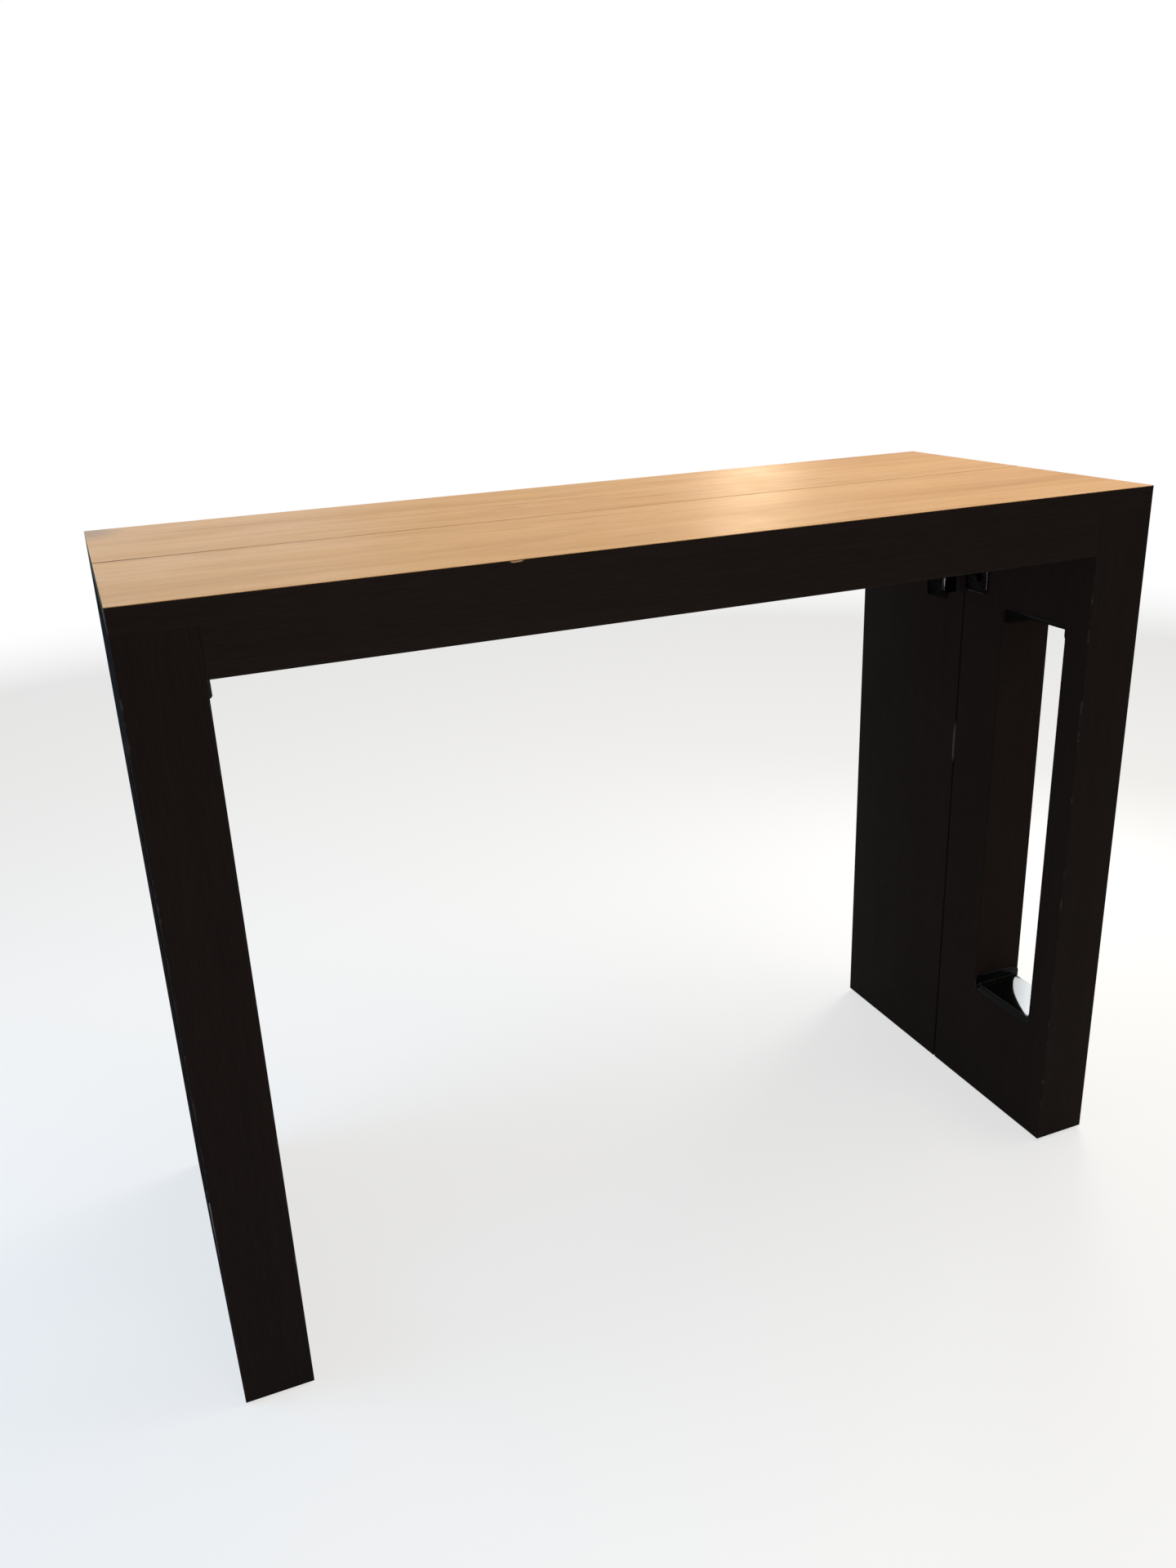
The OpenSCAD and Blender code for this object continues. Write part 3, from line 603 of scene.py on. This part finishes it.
def oak_grain(tree, place):
    """The clean laminate's colour, and the fibres and pores that its relief follows."""
    sway = maths(tree, "MULTIPLY", layer(tree, place, sway_swells), sway_reach)
    bent = vectors(tree, "ADD", place, add(tree, "ShaderNodeCombineXYZ", {"Y": sway}).outputs[0])
    boards = layer(tree, bent, board_swells)
    streaks = layer(tree, bent, streak_swells)
    dashes = between(tree, layer(tree, bent, dash_swells), low=0.55, high=0.70)
    fibres = layer(tree, bent, fibre_swells, detail=3.0, rough=0.6)
    pores = between(tree, layer(tree, bent, pore_swells, detail=1.0), low=0.62, high=0.72)
    figured = between(tree, layer(tree, bent, figure_swells), low=0.42, high=0.62)
    tone = weighed(tree, boards, streaks, board_share)
    colour = ramp(tree, tone, (0.20, oak_streak), (0.42, oak_honey), (0.60, oak_pale))
    dashed = maths(tree, "MULTIPLY", dashes, maths(tree, "MULTIPLY", figured, dash_show))
    colour = mix(tree, dashed, colour, oak_streak)
    fibred = maths(tree, "MULTIPLY", between(tree, fibres, low=0.35, high=0.65), fibre_show)
    colour = mix(tree, fibred, colour, oak_streak)
    colour = mix(tree, maths(tree, "MULTIPLY", pores, pore_show), colour, oak_pore)
    return colour, fibres, pores


def seam_shade(tree, place, along, from_seam):
    """Painted shade along the seam, in patches, and most at the left end."""
    by_seam = between(tree, from_seam, low=0.0036, high=0.0012)
    patchy = between(tree, layer(tree, place, patch_swells, detail=3.0), low=0.30, high=0.60)
    left_end = between(tree, along, low=-0.34, high=-0.46)
    return maths(tree, "MULTIPLY", maths(tree, "MULTIPLY", by_seam, patchy),
                 varied(tree, seam_shade_least, seam_shade_at_left, left_end))


# Painted grey shade on the back left corner, fading away from it.
def corner_shade(tree):
    from_corner = vectors(tree, "SUBTRACT", own_place(tree), shaded_corner)
    reach = vectors(tree, "LENGTH", scaled(tree, from_corner, corner_shade_stretch))
    return maths(tree, "MULTIPLY", between(tree, reach, low=0.045, high=0.012), corner_shade_show)


def oak(tree, shift):
    place = scaled(tree, own_place(tree), (1.0, 1.0, 1.0), shift)
    along = coordinate(tree, own_place(tree), lengthwise)
    from_seam = maths(tree, "ABSOLUTE", coordinate(tree, own_place(tree), crosswise))
    colour, fibres, pores = oak_grain(tree, place)
    # Painted shade darkens the oak along the seam.
    colour = mix(tree, seam_shade(tree, place, along, from_seam), colour, oak_seam_shade)
    colour = mix(tree, corner_shade(tree), colour, oak_corner_shade)
    # The seam's cut edge is painted lighter towards the right: painted light on the seam.
    in_seam = between(tree, from_seam, low=0.006, high=0.003)
    clean = maths(tree, "MULTIPLY", in_seam, between(tree, along, low=-0.45, high=-0.25))
    cut_edge = mix(tree, maths(tree, "MULTIPLY", clean, lit_seam_edge_show), oak_edge, oak_streak)
    colour = mix(tree, between(tree, facing(tree, upright), low=0.6, high=0.3), colour, cut_edge)
    smudges = noise(tree, place, scale=14.0, detail=4.0, rough=0.6)
    relief = maths(tree, "SUBTRACT", maths(tree, "MULTIPLY", fibres, oak_fibre_relief), pores)
    return {"Base Color": colour, "Roughness": varied(tree, oak_least, oak_spread, smudges),
            "Specular IOR Level": 0.05, "Normal": bump(tree, relief, oak_relief, strength=0.6)}


# Where in the printed grain each half's sheet was cut
cut_from = {"front": (0.37, 0.11, 0.0), "rear": (2.63, 1.45, 0.0)}
for half, shift in cut_from.items():
    dress(finish(half + "_oak_laminate", lambda tree: oak(tree, shift)), half + "_oak_sheet")


# Corner brackets. Bent steel angles, zinc-plated, hold the boards to the legs; two stand
# in the corner of each leg.

bracket_edge = 0.0003
zinc_tones = ((0.25, (0.40, 0.41, 0.42)), (0.75, (0.60, 0.61, 0.62)))
spangle_swells = 420.0
spangle_share = 0.3
zinc_least = 0.30
zinc_spread = 0.18
zinc_relief = 0.00005


def draw_zinc(tree):
    place = own_place(tree)
    spangle = add(tree, "ShaderNodeTexVoronoi", {"Vector": place, "Scale": spangle_swells})
    cloud = noise(tree, place, scale=70.0, detail=4.0, rough=0.6)
    tone = weighed(tree, spangle.outputs["Color"], cloud, spangle_share)
    return {"Base Color": ramp(tree, tone, *zinc_tones), "Metallic": 1.0,
            "Roughness": varied(tree, zinc_least, zinc_spread, cloud),
            "Normal": bump(tree, cloud, zinc_relief)}


zinc = finish("zinc_plate", draw_zinc)
for name in ("front_corner_brackets", "rear_corner_brackets"):
    softened(name, bracket_edge, zinc)


# Wood screws. Zinc-plated pan-head screws, driven with a cross-head bit, hold the brackets
# to boards and legs and hang the two fixed runner bars of each side from the boards.

shank_sides = 20
head_sides = 32
head_rings = 8
thread_sides = 3
thread_steps = 18
recess_sides = 4
recess_foot = 0.3
wing_narrowness = 0.26
mouth_clear = 0.0005
joint_overlap = 0.0001
point_radius = 0.0001
screw_creased_beyond = math.radians(35.0)
spin_seed = 7
# The sockets of a Random Value node that carry plain numbers
random_least = 2
random_most = 3
random_result = 1


def tapered(tree, low, low_radius, high, high_radius, sides=shank_sides):
    """A closed round solid along Z, from one height and radius to another."""
    height = maths(tree, "SUBTRACT", high, low)
    solid = add(tree, "GeometryNodeMeshCone", {"Vertices": sides, "Radius Bottom": low_radius,
                "Radius Top": high_radius, "Depth": height}).outputs[0]
    lift = add(tree, "ShaderNodeCombineXYZ", {"Z": low}).outputs[0]
    return add(tree, "GeometryNodeTransform", {"Geometry": solid, "Translation": lift}).outputs[0]


def turned_head(tree, low, low_radius, high, high_radius, fullness):
    """A screw's head along Z; its side is straight at a fullness of 1 and domed below that."""
    start, end = [add(tree, "ShaderNodeCombineXYZ", {"Z": z}).outputs[0] for z in (low, high)]
    line = add(tree, "GeometryNodeCurvePrimitiveLine", {"Start": start, "End": end}).outputs[0]
    rings = add(tree, "GeometryNodeResampleCurve", {"Curve": line, "Count": head_rings}).outputs[0]
    along = add(tree, "GeometryNodeSplineParameter").outputs["Factor"]
    swell = maths(tree, "MULTIPLY", maths(tree, "SUBTRACT", high_radius, low_radius),
                  maths(tree, "POWER", along, fullness))
    circle = add(tree, "GeometryNodeCurvePrimitiveCircle",
                 {"Resolution": head_sides, "Radius": 1.0}).outputs[0]
    return add(tree, "GeometryNodeCurveToMesh", {"Curve": rings, "Profile Curve": circle,
               "Scale": maths(tree, "ADD", low_radius, swell), "Fill Caps": True}).outputs[0]


def halved(tree, value):
    return maths(tree, "MULTIPLY", value, 0.5)


def recessed_head(tree, given):
    """The head, with the cross of its recess cut out."""
    top = maths(tree, "MULTIPLY", given["Head Rise"], -1.0)
    head = turned_head(tree, top, halved(tree, given["Head Top Width"]), given["Head Sink"],
                       halved(tree, given["Head Under Width"]), given["Head Fullness"])
    mouth = maths(tree, "SUBTRACT", top, mouth_clear)
    pit = maths(tree, "ADD", top, given["Recess Depth"])
    foot = maths(tree, "MULTIPLY", given["Recess Width"], recess_foot)
    wing = tapered(tree, mouth, halved(tree, given["Recess Width"]), pit, foot, recess_sides)
    wings = [add(tree, "GeometryNodeTransform", {"Geometry": wing, "Scale": narrow}).outputs[0]
             for narrow in ((1.0, wing_narrowness, 1.0), (wing_narrowness, 1.0, 1.0))]
    return add(tree, "GeometryNodeMeshBoolean", {"Mesh 1": head, "Mesh 2": wings},
               operation="DIFFERENCE", solver="EXACT").outputs[0]


def threaded_shank(tree, given):
    """The plain shank, the core, the point and the thread that winds round the core."""
    shank = halved(tree, given["Shank Width"])
    root = halved(tree, given["Root Width"])
    collar = maths(tree, "SUBTRACT", given["Head Sink"], joint_overlap)
    tip = maths(tree, "SUBTRACT", given["Length"], given["Shank Width"])
    plain = tapered(tree, collar, shank, given["Plain Length"], shank)
    core = tapered(tree, given["Plain Length"], root, tip, root)
    point = tapered(tree, tip, root, given["Length"], point_radius)
    threaded = maths(tree, "SUBTRACT", tip, given["Plain Length"])
    ridge = halved(tree, maths(tree, "SUBTRACT", given["Shank Width"], given["Root Width"]))
    turns = maths(tree, "DIVIDE", threaded, given["Thread Pitch"])
    coil = add(tree, "GeometryNodeCurveSpiral",
               {"Resolution": thread_steps, "Rotations": turns, "Start Radius": root,
                "End Radius": root, "Height": threaded}).outputs[0]
    blade = add(tree, "GeometryNodeCurvePrimitiveCircle",
                {"Resolution": thread_sides, "Radius": ridge}).outputs[0]
    thread = add(tree, "GeometryNodeCurveToMesh",
                 {"Curve": coil, "Profile Curve": blade, "Fill Caps": True}).outputs[0]
    start = add(tree, "ShaderNodeCombineXYZ", {"Z": given["Plain Length"]}).outputs[0]
    thread = add(tree, "GeometryNodeTransform",
                 {"Geometry": thread, "Translation": start}).outputs[0]
    return [plain, core, point, thread]


def build_screw_tree():
    """Puts a whole screw at each point; its seat is at the point and it is driven along way."""
    tree = bpy.data.node_groups.new("wood_screws", "GeometryNodeTree")
    face = tree.interface
    face.new_socket("Places", in_out="INPUT", socket_type="NodeSocketGeometry")
    for size in ("Head Rise", "Head Sink", "Head Top Width", "Head Under Width", "Head Fullness",
                 "Shank Width", "Root Width", "Plain Length", "Length", "Thread Pitch",
                 "Recess Width", "Recess Depth"):
        face.new_socket(size, in_out="INPUT", socket_type="NodeSocketFloat")
    face.new_socket("Finish", in_out="INPUT", socket_type="NodeSocketMaterial")
    face.new_socket("Screws", in_out="OUTPUT", socket_type="NodeSocketGeometry")
    given = add(tree, "NodeGroupInput").outputs
    parts = [recessed_head(tree, given), *threaded_shank(tree, given)]
    screw = add(tree, "GeometryNodeJoinGeometry", {0: parts}).outputs[0]

    way = add(tree, "GeometryNodeInputNamedAttribute", {"Name": "way"},
              data_type="FLOAT_VECTOR").outputs[0]
    aimed = add(tree, "FunctionNodeAlignRotationToVector", {"Vector": way}, axis="Z").outputs[0]
    spin = add(tree, "FunctionNodeRandomValue",
               {random_least: 0.0, random_most: math.pi, "Seed": spin_seed},
               data_type="FLOAT").outputs[random_result]
    spun = add(tree, "FunctionNodeAxisAngleToRotation",
               {"Axis": (0.0, 0.0, 1.0), "Angle": spin}).outputs[0]
    turned = add(tree, "FunctionNodeRotateRotation", {"Rotation": aimed, "Rotate By": spun},
                 rotation_space="LOCAL").outputs[0]
    placed = add(tree, "GeometryNodeInstanceOnPoints",
                 {"Points": given["Places"], "Instance": screw, "Rotation": turned}).outputs[0]
    real = add(tree, "GeometryNodeRealizeInstances", {0: placed}).outputs[0]
    done = add(tree, "GeometryNodeSetMaterial", {0: real, "Material": given["Finish"]}).outputs[0]
    add(tree, "NodeGroupOutput", {0: done})
    return tree


screw_tree = build_screw_tree()


def drive_screws(name, body, seats, sizes, material):
    """Makes one mesh of the screws at the seats, each a place and the way it is driven."""
    mesh = bpy.data.meshes.new(name)
    mesh.from_pydata([place for place, way in seats], [], [])
    ways = mesh.attributes.new("way", "FLOAT_VECTOR", "POINT")
    for item, (place, way) in zip(ways.data, seats):
        item.vector = way
    piece = bpy.data.objects.new(name, mesh)
    bpy.context.scene.collection.objects.link(piece)
    maker = piece.modifiers.new("screws", "NODES")
    maker.node_group = screw_tree
    values = {**sizes, "Finish": material}
    for socket in screw_tree.interface.items_tree:
        if socket.name in values:
            maker[socket.identifier] = values[socket.name]
    ready = piece.evaluated_get(bpy.context.evaluated_depsgraph_get())
    made = bpy.data.meshes.new_from_object(ready)
    piece.modifiers.clear()
    piece.data = made
    made.shade_smooth()
    made.set_sharp_from_angle(angle=screw_creased_beyond)
    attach(piece, body)
    return piece


def separate_solids(name):
    """The corner points of each separate solid of a CAD node."""
    whole = clean_copy(name)
    whole.verts.index_update()
    seen_already = set()
    solids = []
    for first in whole.verts:
        if first.index in seen_already:
            continue
        seen_already.add(first.index)
        waiting = [first]
        points = []
        while waiting:
            vert = waiting.pop()
            points.append(vert.co[:])
            for edge in vert.link_edges:
                other = edge.other_vert(vert)
                if other.index not in seen_already:
                    seen_already.add(other.index)
                    waiting.append(other)
        solids.append(np.array(points))
    whole.free()
    return solids


rim_width = 1e-5


def screw_seats(name):
    """The seat, way, length, head rise and head width of each screw in a CAD node."""
    seats = []
    for points in separate_solids(name):
        low = points.min(axis=0)
        high = points.max(axis=0)
        axis = int((high - low).argmax())
        middle = (low + high) / 2
        reach = np.linalg.norm(np.delete(points - middle, axis, axis=1), axis=1)
        rim = points[reach > reach.max() - rim_width][:, axis]
        sense = 1.0 if rim.mean() < middle[axis] else -1.0
        seat = rim.max() if sense > 0 else rim.min()
        place = middle.copy()
        place[axis] = seat
        way = np.zeros(3)
        way[axis] = sense
        length = (high[axis] - seat) if sense > 0 else (seat - low[axis])
        rise = (high[axis] - low[axis]) - length
        seats.append((tuple(place), tuple(way), length, rise, 2 * reach.max()))
    return seats


plain_lengths = {"bracket": 0.0045, "runner": 0.0070}
head_top_share = 0.55
screw_width = 0.0040
screw_root = 0.0028
thread_pitch = 0.0018

for half in ("front", "rear"):
    for use, plain_length in plain_lengths.items():
        node = f"{half}_{use}_screws"
        found = screw_seats(node)
        length, rise, head_width = found[0][2:]
        sizes = {"Head Rise": rise, "Head Sink": 0.0, "Head Top Width": head_top_share * head_width,
                 "Head Under Width": head_width, "Head Fullness": 0.38,
                 "Shank Width": screw_width, "Root Width": screw_root,
                 "Plain Length": plain_length, "Length": length, "Thread Pitch": thread_pitch,
                 "Recess Width": 0.0046, "Recess Depth": 0.0016}
        seats = [(place, way) for place, way, *rest in found]
        piece = drive_screws(node + "_driven", nodes[node]["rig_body"], seats, sizes, zinc)
        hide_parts(node)


# Runner bars. Ten aluminium extrusions, five a side, natural anodised, with fine draw
# lines along them. Each bar's T-rib hangs in the slot of its neighbour, and zinc-plated
# stop pins in the rib's head end its travel.

bars_a_side = 5
draw_line_stretch = (1.0, 0.004, 1.0)
scuff_stretch = (1.0, 0.08, 1.0)
aluminium_tones = ((0.3, (0.50, 0.51, 0.53)), (0.7, (0.66, 0.67, 0.69)))
scuff_colour = (0.40, 0.41, 0.42)
aluminium_least = 0.30
aluminium_spread = 0.16
draw_line_relief = 0.00003


def draw_aluminium(tree):
    place = own_place(tree)
    lines = noise(tree, scaled(tree, place, draw_line_stretch), scale=2600.0, rough=0.6)
    scuffs = noise(tree, scaled(tree, place, scuff_stretch), scale=220.0, detail=4.0, rough=0.7)
    colour = mix(tree, between(tree, scuffs, low=0.60, high=0.72),
                 ramp(tree, lines, *aluminium_tones), scuff_colour)
    return {"Base Color": colour, "Metallic": 1.0,
            "Roughness": varied(tree, aluminium_least, aluminium_spread, lines),
            "Normal": bump(tree, lines, draw_line_relief)}


aluminium = finish("anodised_aluminium", draw_aluminium)
for number in range(1, bars_a_side + 1):
    dress(aluminium, f"runner_bar_{number}_left", f"runner_bar_{number}_right")
dress(zinc, "stop_pins_2", "stop_pins_3", "stop_pins_4", "stop_pins_5")


# Table lock. A plate on the rear leg carries the lever on a rivet, and a plate on the
# front leg carries the stud that the lever's hook catches. All are pressed steel with a
# dark nickel plating; their edges are bright in patches towards the top, partly rubbed
# plating and partly a painted highlight. Countersunk screws hold them.

lock_edge = 0.0006
nickel_dark = (0.0055, 0.0050, 0.0050)
nickel_light = (0.0095, 0.0088, 0.0088)
nickel_tint = (0.3, 0.3, 0.3)
nickel_least = 0.30
nickel_spread = 0.16
nickel_relief = 0.00006
scratch_stretch = (1.0, 0.15, 1.0)
scratch_colour = (0.035, 0.035, 0.036)
scratch_show = 0.25
# Edge colours, bright in patches towards the top: partly rubbed plating, partly a painted highlight.
edge_dark = (0.014, 0.013, 0.013)
edge_bright = (0.88, 0.88, 0.90)
edge_bright_relief = 0.00003
bright_from = 0.622
fully_bright = 0.650


def draw_dark_nickel(tree):
    place = own_place(tree)
    haze = noise(tree, place, scale=110.0, detail=4.0, rough=0.6)
    marks = noise(tree, scaled(tree, place, scratch_stretch), scale=1600.0)
    scratches = maths(tree, "MULTIPLY", between(tree, marks, low=0.62, high=0.70), scratch_show)
    colour = mix(tree, haze, nickel_dark, nickel_light)
    return {"Base Color": mix(tree, scratches, colour, scratch_colour), "Metallic": 1.0,
            "Specular Tint": nickel_tint,
            "Roughness": varied(tree, nickel_least, nickel_spread, haze),
            "Normal": bump(tree, haze, nickel_relief)}


def draw_rubbed_and_highlit_steel(tree):
    """Bright steel in patches towards the top of plates and levers: partly rubbed plating, partly a
    painted highlight.
    """
    place = own_place(tree)
    patches = between(tree, noise(tree, place, scale=200.0, detail=3.0, rough=0.6),
                      low=0.32, high=0.50)
    height = coordinate(tree, place, upright)
    worn_and_highlit = maths(tree, "MULTIPLY", patches, between(tree, height, bright_from, fully_bright))
    return {"Base Color": mix(tree, worn_and_highlit, edge_dark, edge_bright), "Metallic": 1.0,
            "Roughness": 0.42, "Normal": bump(tree, worn_and_highlit, edge_bright_relief)}


dark_nickel = finish("dark_nickel", draw_dark_nickel)
rubbed_and_highlit_steel = finish("rubbed_and_highlit_steel", draw_rubbed_and_highlit_steel)
for name in ("latch_bases", "latch_keepers", "latch_rivets", "keeper_studs",
             "latch_lever_left", "latch_lever_right"):
    softened(name, lock_edge, dark_nickel, rubbed_and_highlit_steel)

plate_hole_in = 0.007
plate_seat = 0.0019
plate_sizes = {"Head Rise": 0.0, "Head Sink": plate_seat, "Head Top Width": 0.0084,
               "Head Under Width": screw_width, "Head Fullness": 1.0, "Shank Width": screw_width,
               "Root Width": screw_root, "Plain Length": 0.0050, "Length": 0.0160,
               "Thread Pitch": thread_pitch, "Recess Width": 0.0044, "Recess Depth": 0.0014}
for node, half in (("latch_keepers", "front"), ("latch_bases", "rear")):
    low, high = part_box(node)
    rows = [(low.y + plate_hole_in, low.z + plate_hole_in),
            (high.y - plate_hole_in, high.z - plate_hole_in)]
    seats = [((side * (leg_in - plate_seat), y, z), (side, 0.0, 0.0))
             for side in (-1.0, 1.0) for y, z in rows]
    drive_screws(half + "_plate_screws", nodes[node]["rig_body"], seats, plate_sizes,
                 dark_nickel)


# The room. A pale floor keeps the table's shadow before a white surround. The light is soft
# from above, cool from the left and behind, and weak in front. A warm lamp gleams on the
# oak, and the right sill's tray mirrors a small one.

camera_place = Vector((-0.5119, -1.1787, 0.9636))
camera_tilt = math.radians(69.171)
camera_turn = math.radians(-21.585)
camera_roll = math.radians(-2.494)

lens = bpy.data.cameras.new("camera")
lens.lens = 28.987
lens.sensor_width = 36.0
lens.clip_start = 0.01
lens.clip_end = 100.0
camera = bpy.data.objects.new("camera", lens)
bpy.context.scene.collection.objects.link(camera)
camera.matrix_world = (Matrix.Translation(camera_place)
                       @ Matrix.Rotation(camera_turn, 4, "Z")
                       @ Matrix.Rotation(camera_tilt, 4, "X")
                       @ Matrix.Rotation(camera_roll, 4, "Z"))
bpy.context.scene.camera = camera


def seen(tree):
    """1 for what the camera, a mirror face or a clear body sees, and 0 for diffuse light."""
    path = add(tree, "ShaderNodeLightPath").outputs
    either = maths(tree, "MAXIMUM", path["Is Camera Ray"], path["Is Glossy Ray"])
    return maths(tree, "MAXIMUM", either, path["Is Transmission Ray"])


white = (1.0, 1.0, 1.0)
floor_pale = (0.86, 0.86, 0.86)
floor_paler = (0.88, 0.88, 0.88)
floor_reach = 15.0
floor_lift = 0.68
floor_fade = (1.3, 3.6)

floor_finish = bpy.data.materials.new("pale_floor")
floor_finish.use_nodes = True
tree = floor_finish.node_tree
tree.nodes.clear()
away = vectors(tree, "LENGTH", own_place(tree))
lift = maths(tree, "MAXIMUM", floor_lift, between(tree, away, *floor_fade))
mottle = noise(tree, own_place(tree), scale=3.0, detail=4.0)
paint = add(tree, "ShaderNodeBsdfDiffuse", {"Color": mix(tree, mottle, floor_pale, floor_paler)})
glow = add(tree, "ShaderNodeEmission", {"Color": white, "Strength": 1.0})
shown = add(tree, "ShaderNodeMixShader", {0: maths(tree, "MULTIPLY", lift, seen(tree)),
                                          1: paint.outputs[0], 2: glow.outputs[0]})
add(tree, "ShaderNodeOutputMaterial", {"Surface": shown.outputs[0]})

floor_mesh = bpy.data.meshes.new("floor")
floor_corners = [(-floor_reach, -floor_reach, 0.0), (floor_reach, -floor_reach, 0.0),
                 (floor_reach, floor_reach, 0.0), (-floor_reach, floor_reach, 0.0)]
floor_mesh.from_pydata(floor_corners, [], [(0, 1, 2, 3)])
floor_mesh.materials.append(floor_finish)
floor = bpy.data.objects.new("floor", floor_mesh)
bpy.context.scene.collection.objects.link(floor)

fill_light = 0.18
surround = bpy.data.worlds.new("surround")
surround.use_nodes = True
bpy.context.scene.world = surround
tree = surround.node_tree
tree.nodes.clear()
sky = add(tree, "ShaderNodeBackground",
          {"Color": white, "Strength": varied(tree, fill_light, 1.0 - fill_light, seen(tree))})
add(tree, "ShaderNodeOutputWorld", {"Surface": sky.outputs[0]})


def lamp(name, place, aim, size, power, colour):
    """A soft rectangular lamp that the camera itself doesn't see."""
    light = bpy.data.lights.new(name, "AREA")
    light.shape = "RECTANGLE"
    light.size, light.size_y = size
    light.energy = power
    light.color = colour
    made = bpy.data.objects.new(name, light)
    bpy.context.scene.collection.objects.link(made)
    made.location = place
    made.rotation_euler = (Vector(aim) - Vector(place)).to_track_quat("-Z", "Y").to_euler()
    made.visible_camera = False
    return made


def mirror_lamp(name, spot, distance, **light):
    """A lamp that the camera sees mirrored at a spot on a level face."""
    way = (spot - camera_place).normalized()
    way.z = -way.z
    return lamp(name, spot + distance * way, spot, **light)


lamp("overhead", place=(1.0, 0.1, 2.5), aim=(0.0, 0.0, top_height), size=(2.2, 1.8),
     power=48.0, colour=(1.0, 0.89, 0.72))
lamp("daylight", place=(-1.35, 0.15, 1.25), aim=(-0.45, 0.0, top_height), size=(0.9, 0.7),
     power=9.0, colour=(0.36, 0.66, 1.0))
lamp("front_fill", place=(-0.16, -1.00, 0.46), aim=(-0.16, -half_depth, 0.56), size=(0.4, 0.3),
     power=1.95, colour=(1.0, 0.94, 0.87))
lamp("side_daylight", place=(-1.5, 0.1, 0.60), aim=(-0.5, 0.0, 0.50), size=(0.5, 0.5),
     power=4.5, colour=(0.40, 0.70, 1.0))
lamp("far_window", place=(-0.5, 5.0, 1.7), aim=(-0.4, 0.0, top_height), size=(2.6, 1.0),
     power=9.5, colour=(0.46, 0.69, 1.0))
mirror_lamp("warm_lamp", Vector((0.153, 0.001, top_height)), distance=5.0, size=(0.32, 0.5),
            power=8.5, colour=(1.0, 0.80, 0.55))

tray_low, tray_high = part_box("window_sill_caps")
tray_lift = 0.006
glint_from_right = 0.030
tray_spot = Vector((tray_high.x - glint_from_right, (tray_low.y + tray_high.y) / 2,
                    tray_low.z + tray_lift))
mirror_lamp("sill_glint", tray_spot, distance=1.0, size=(0.26, 0.17),
            power=4.2, colour=(0.95, 0.98, 1.0))

bpy.context.scene.view_settings.view_transform = "Standard"
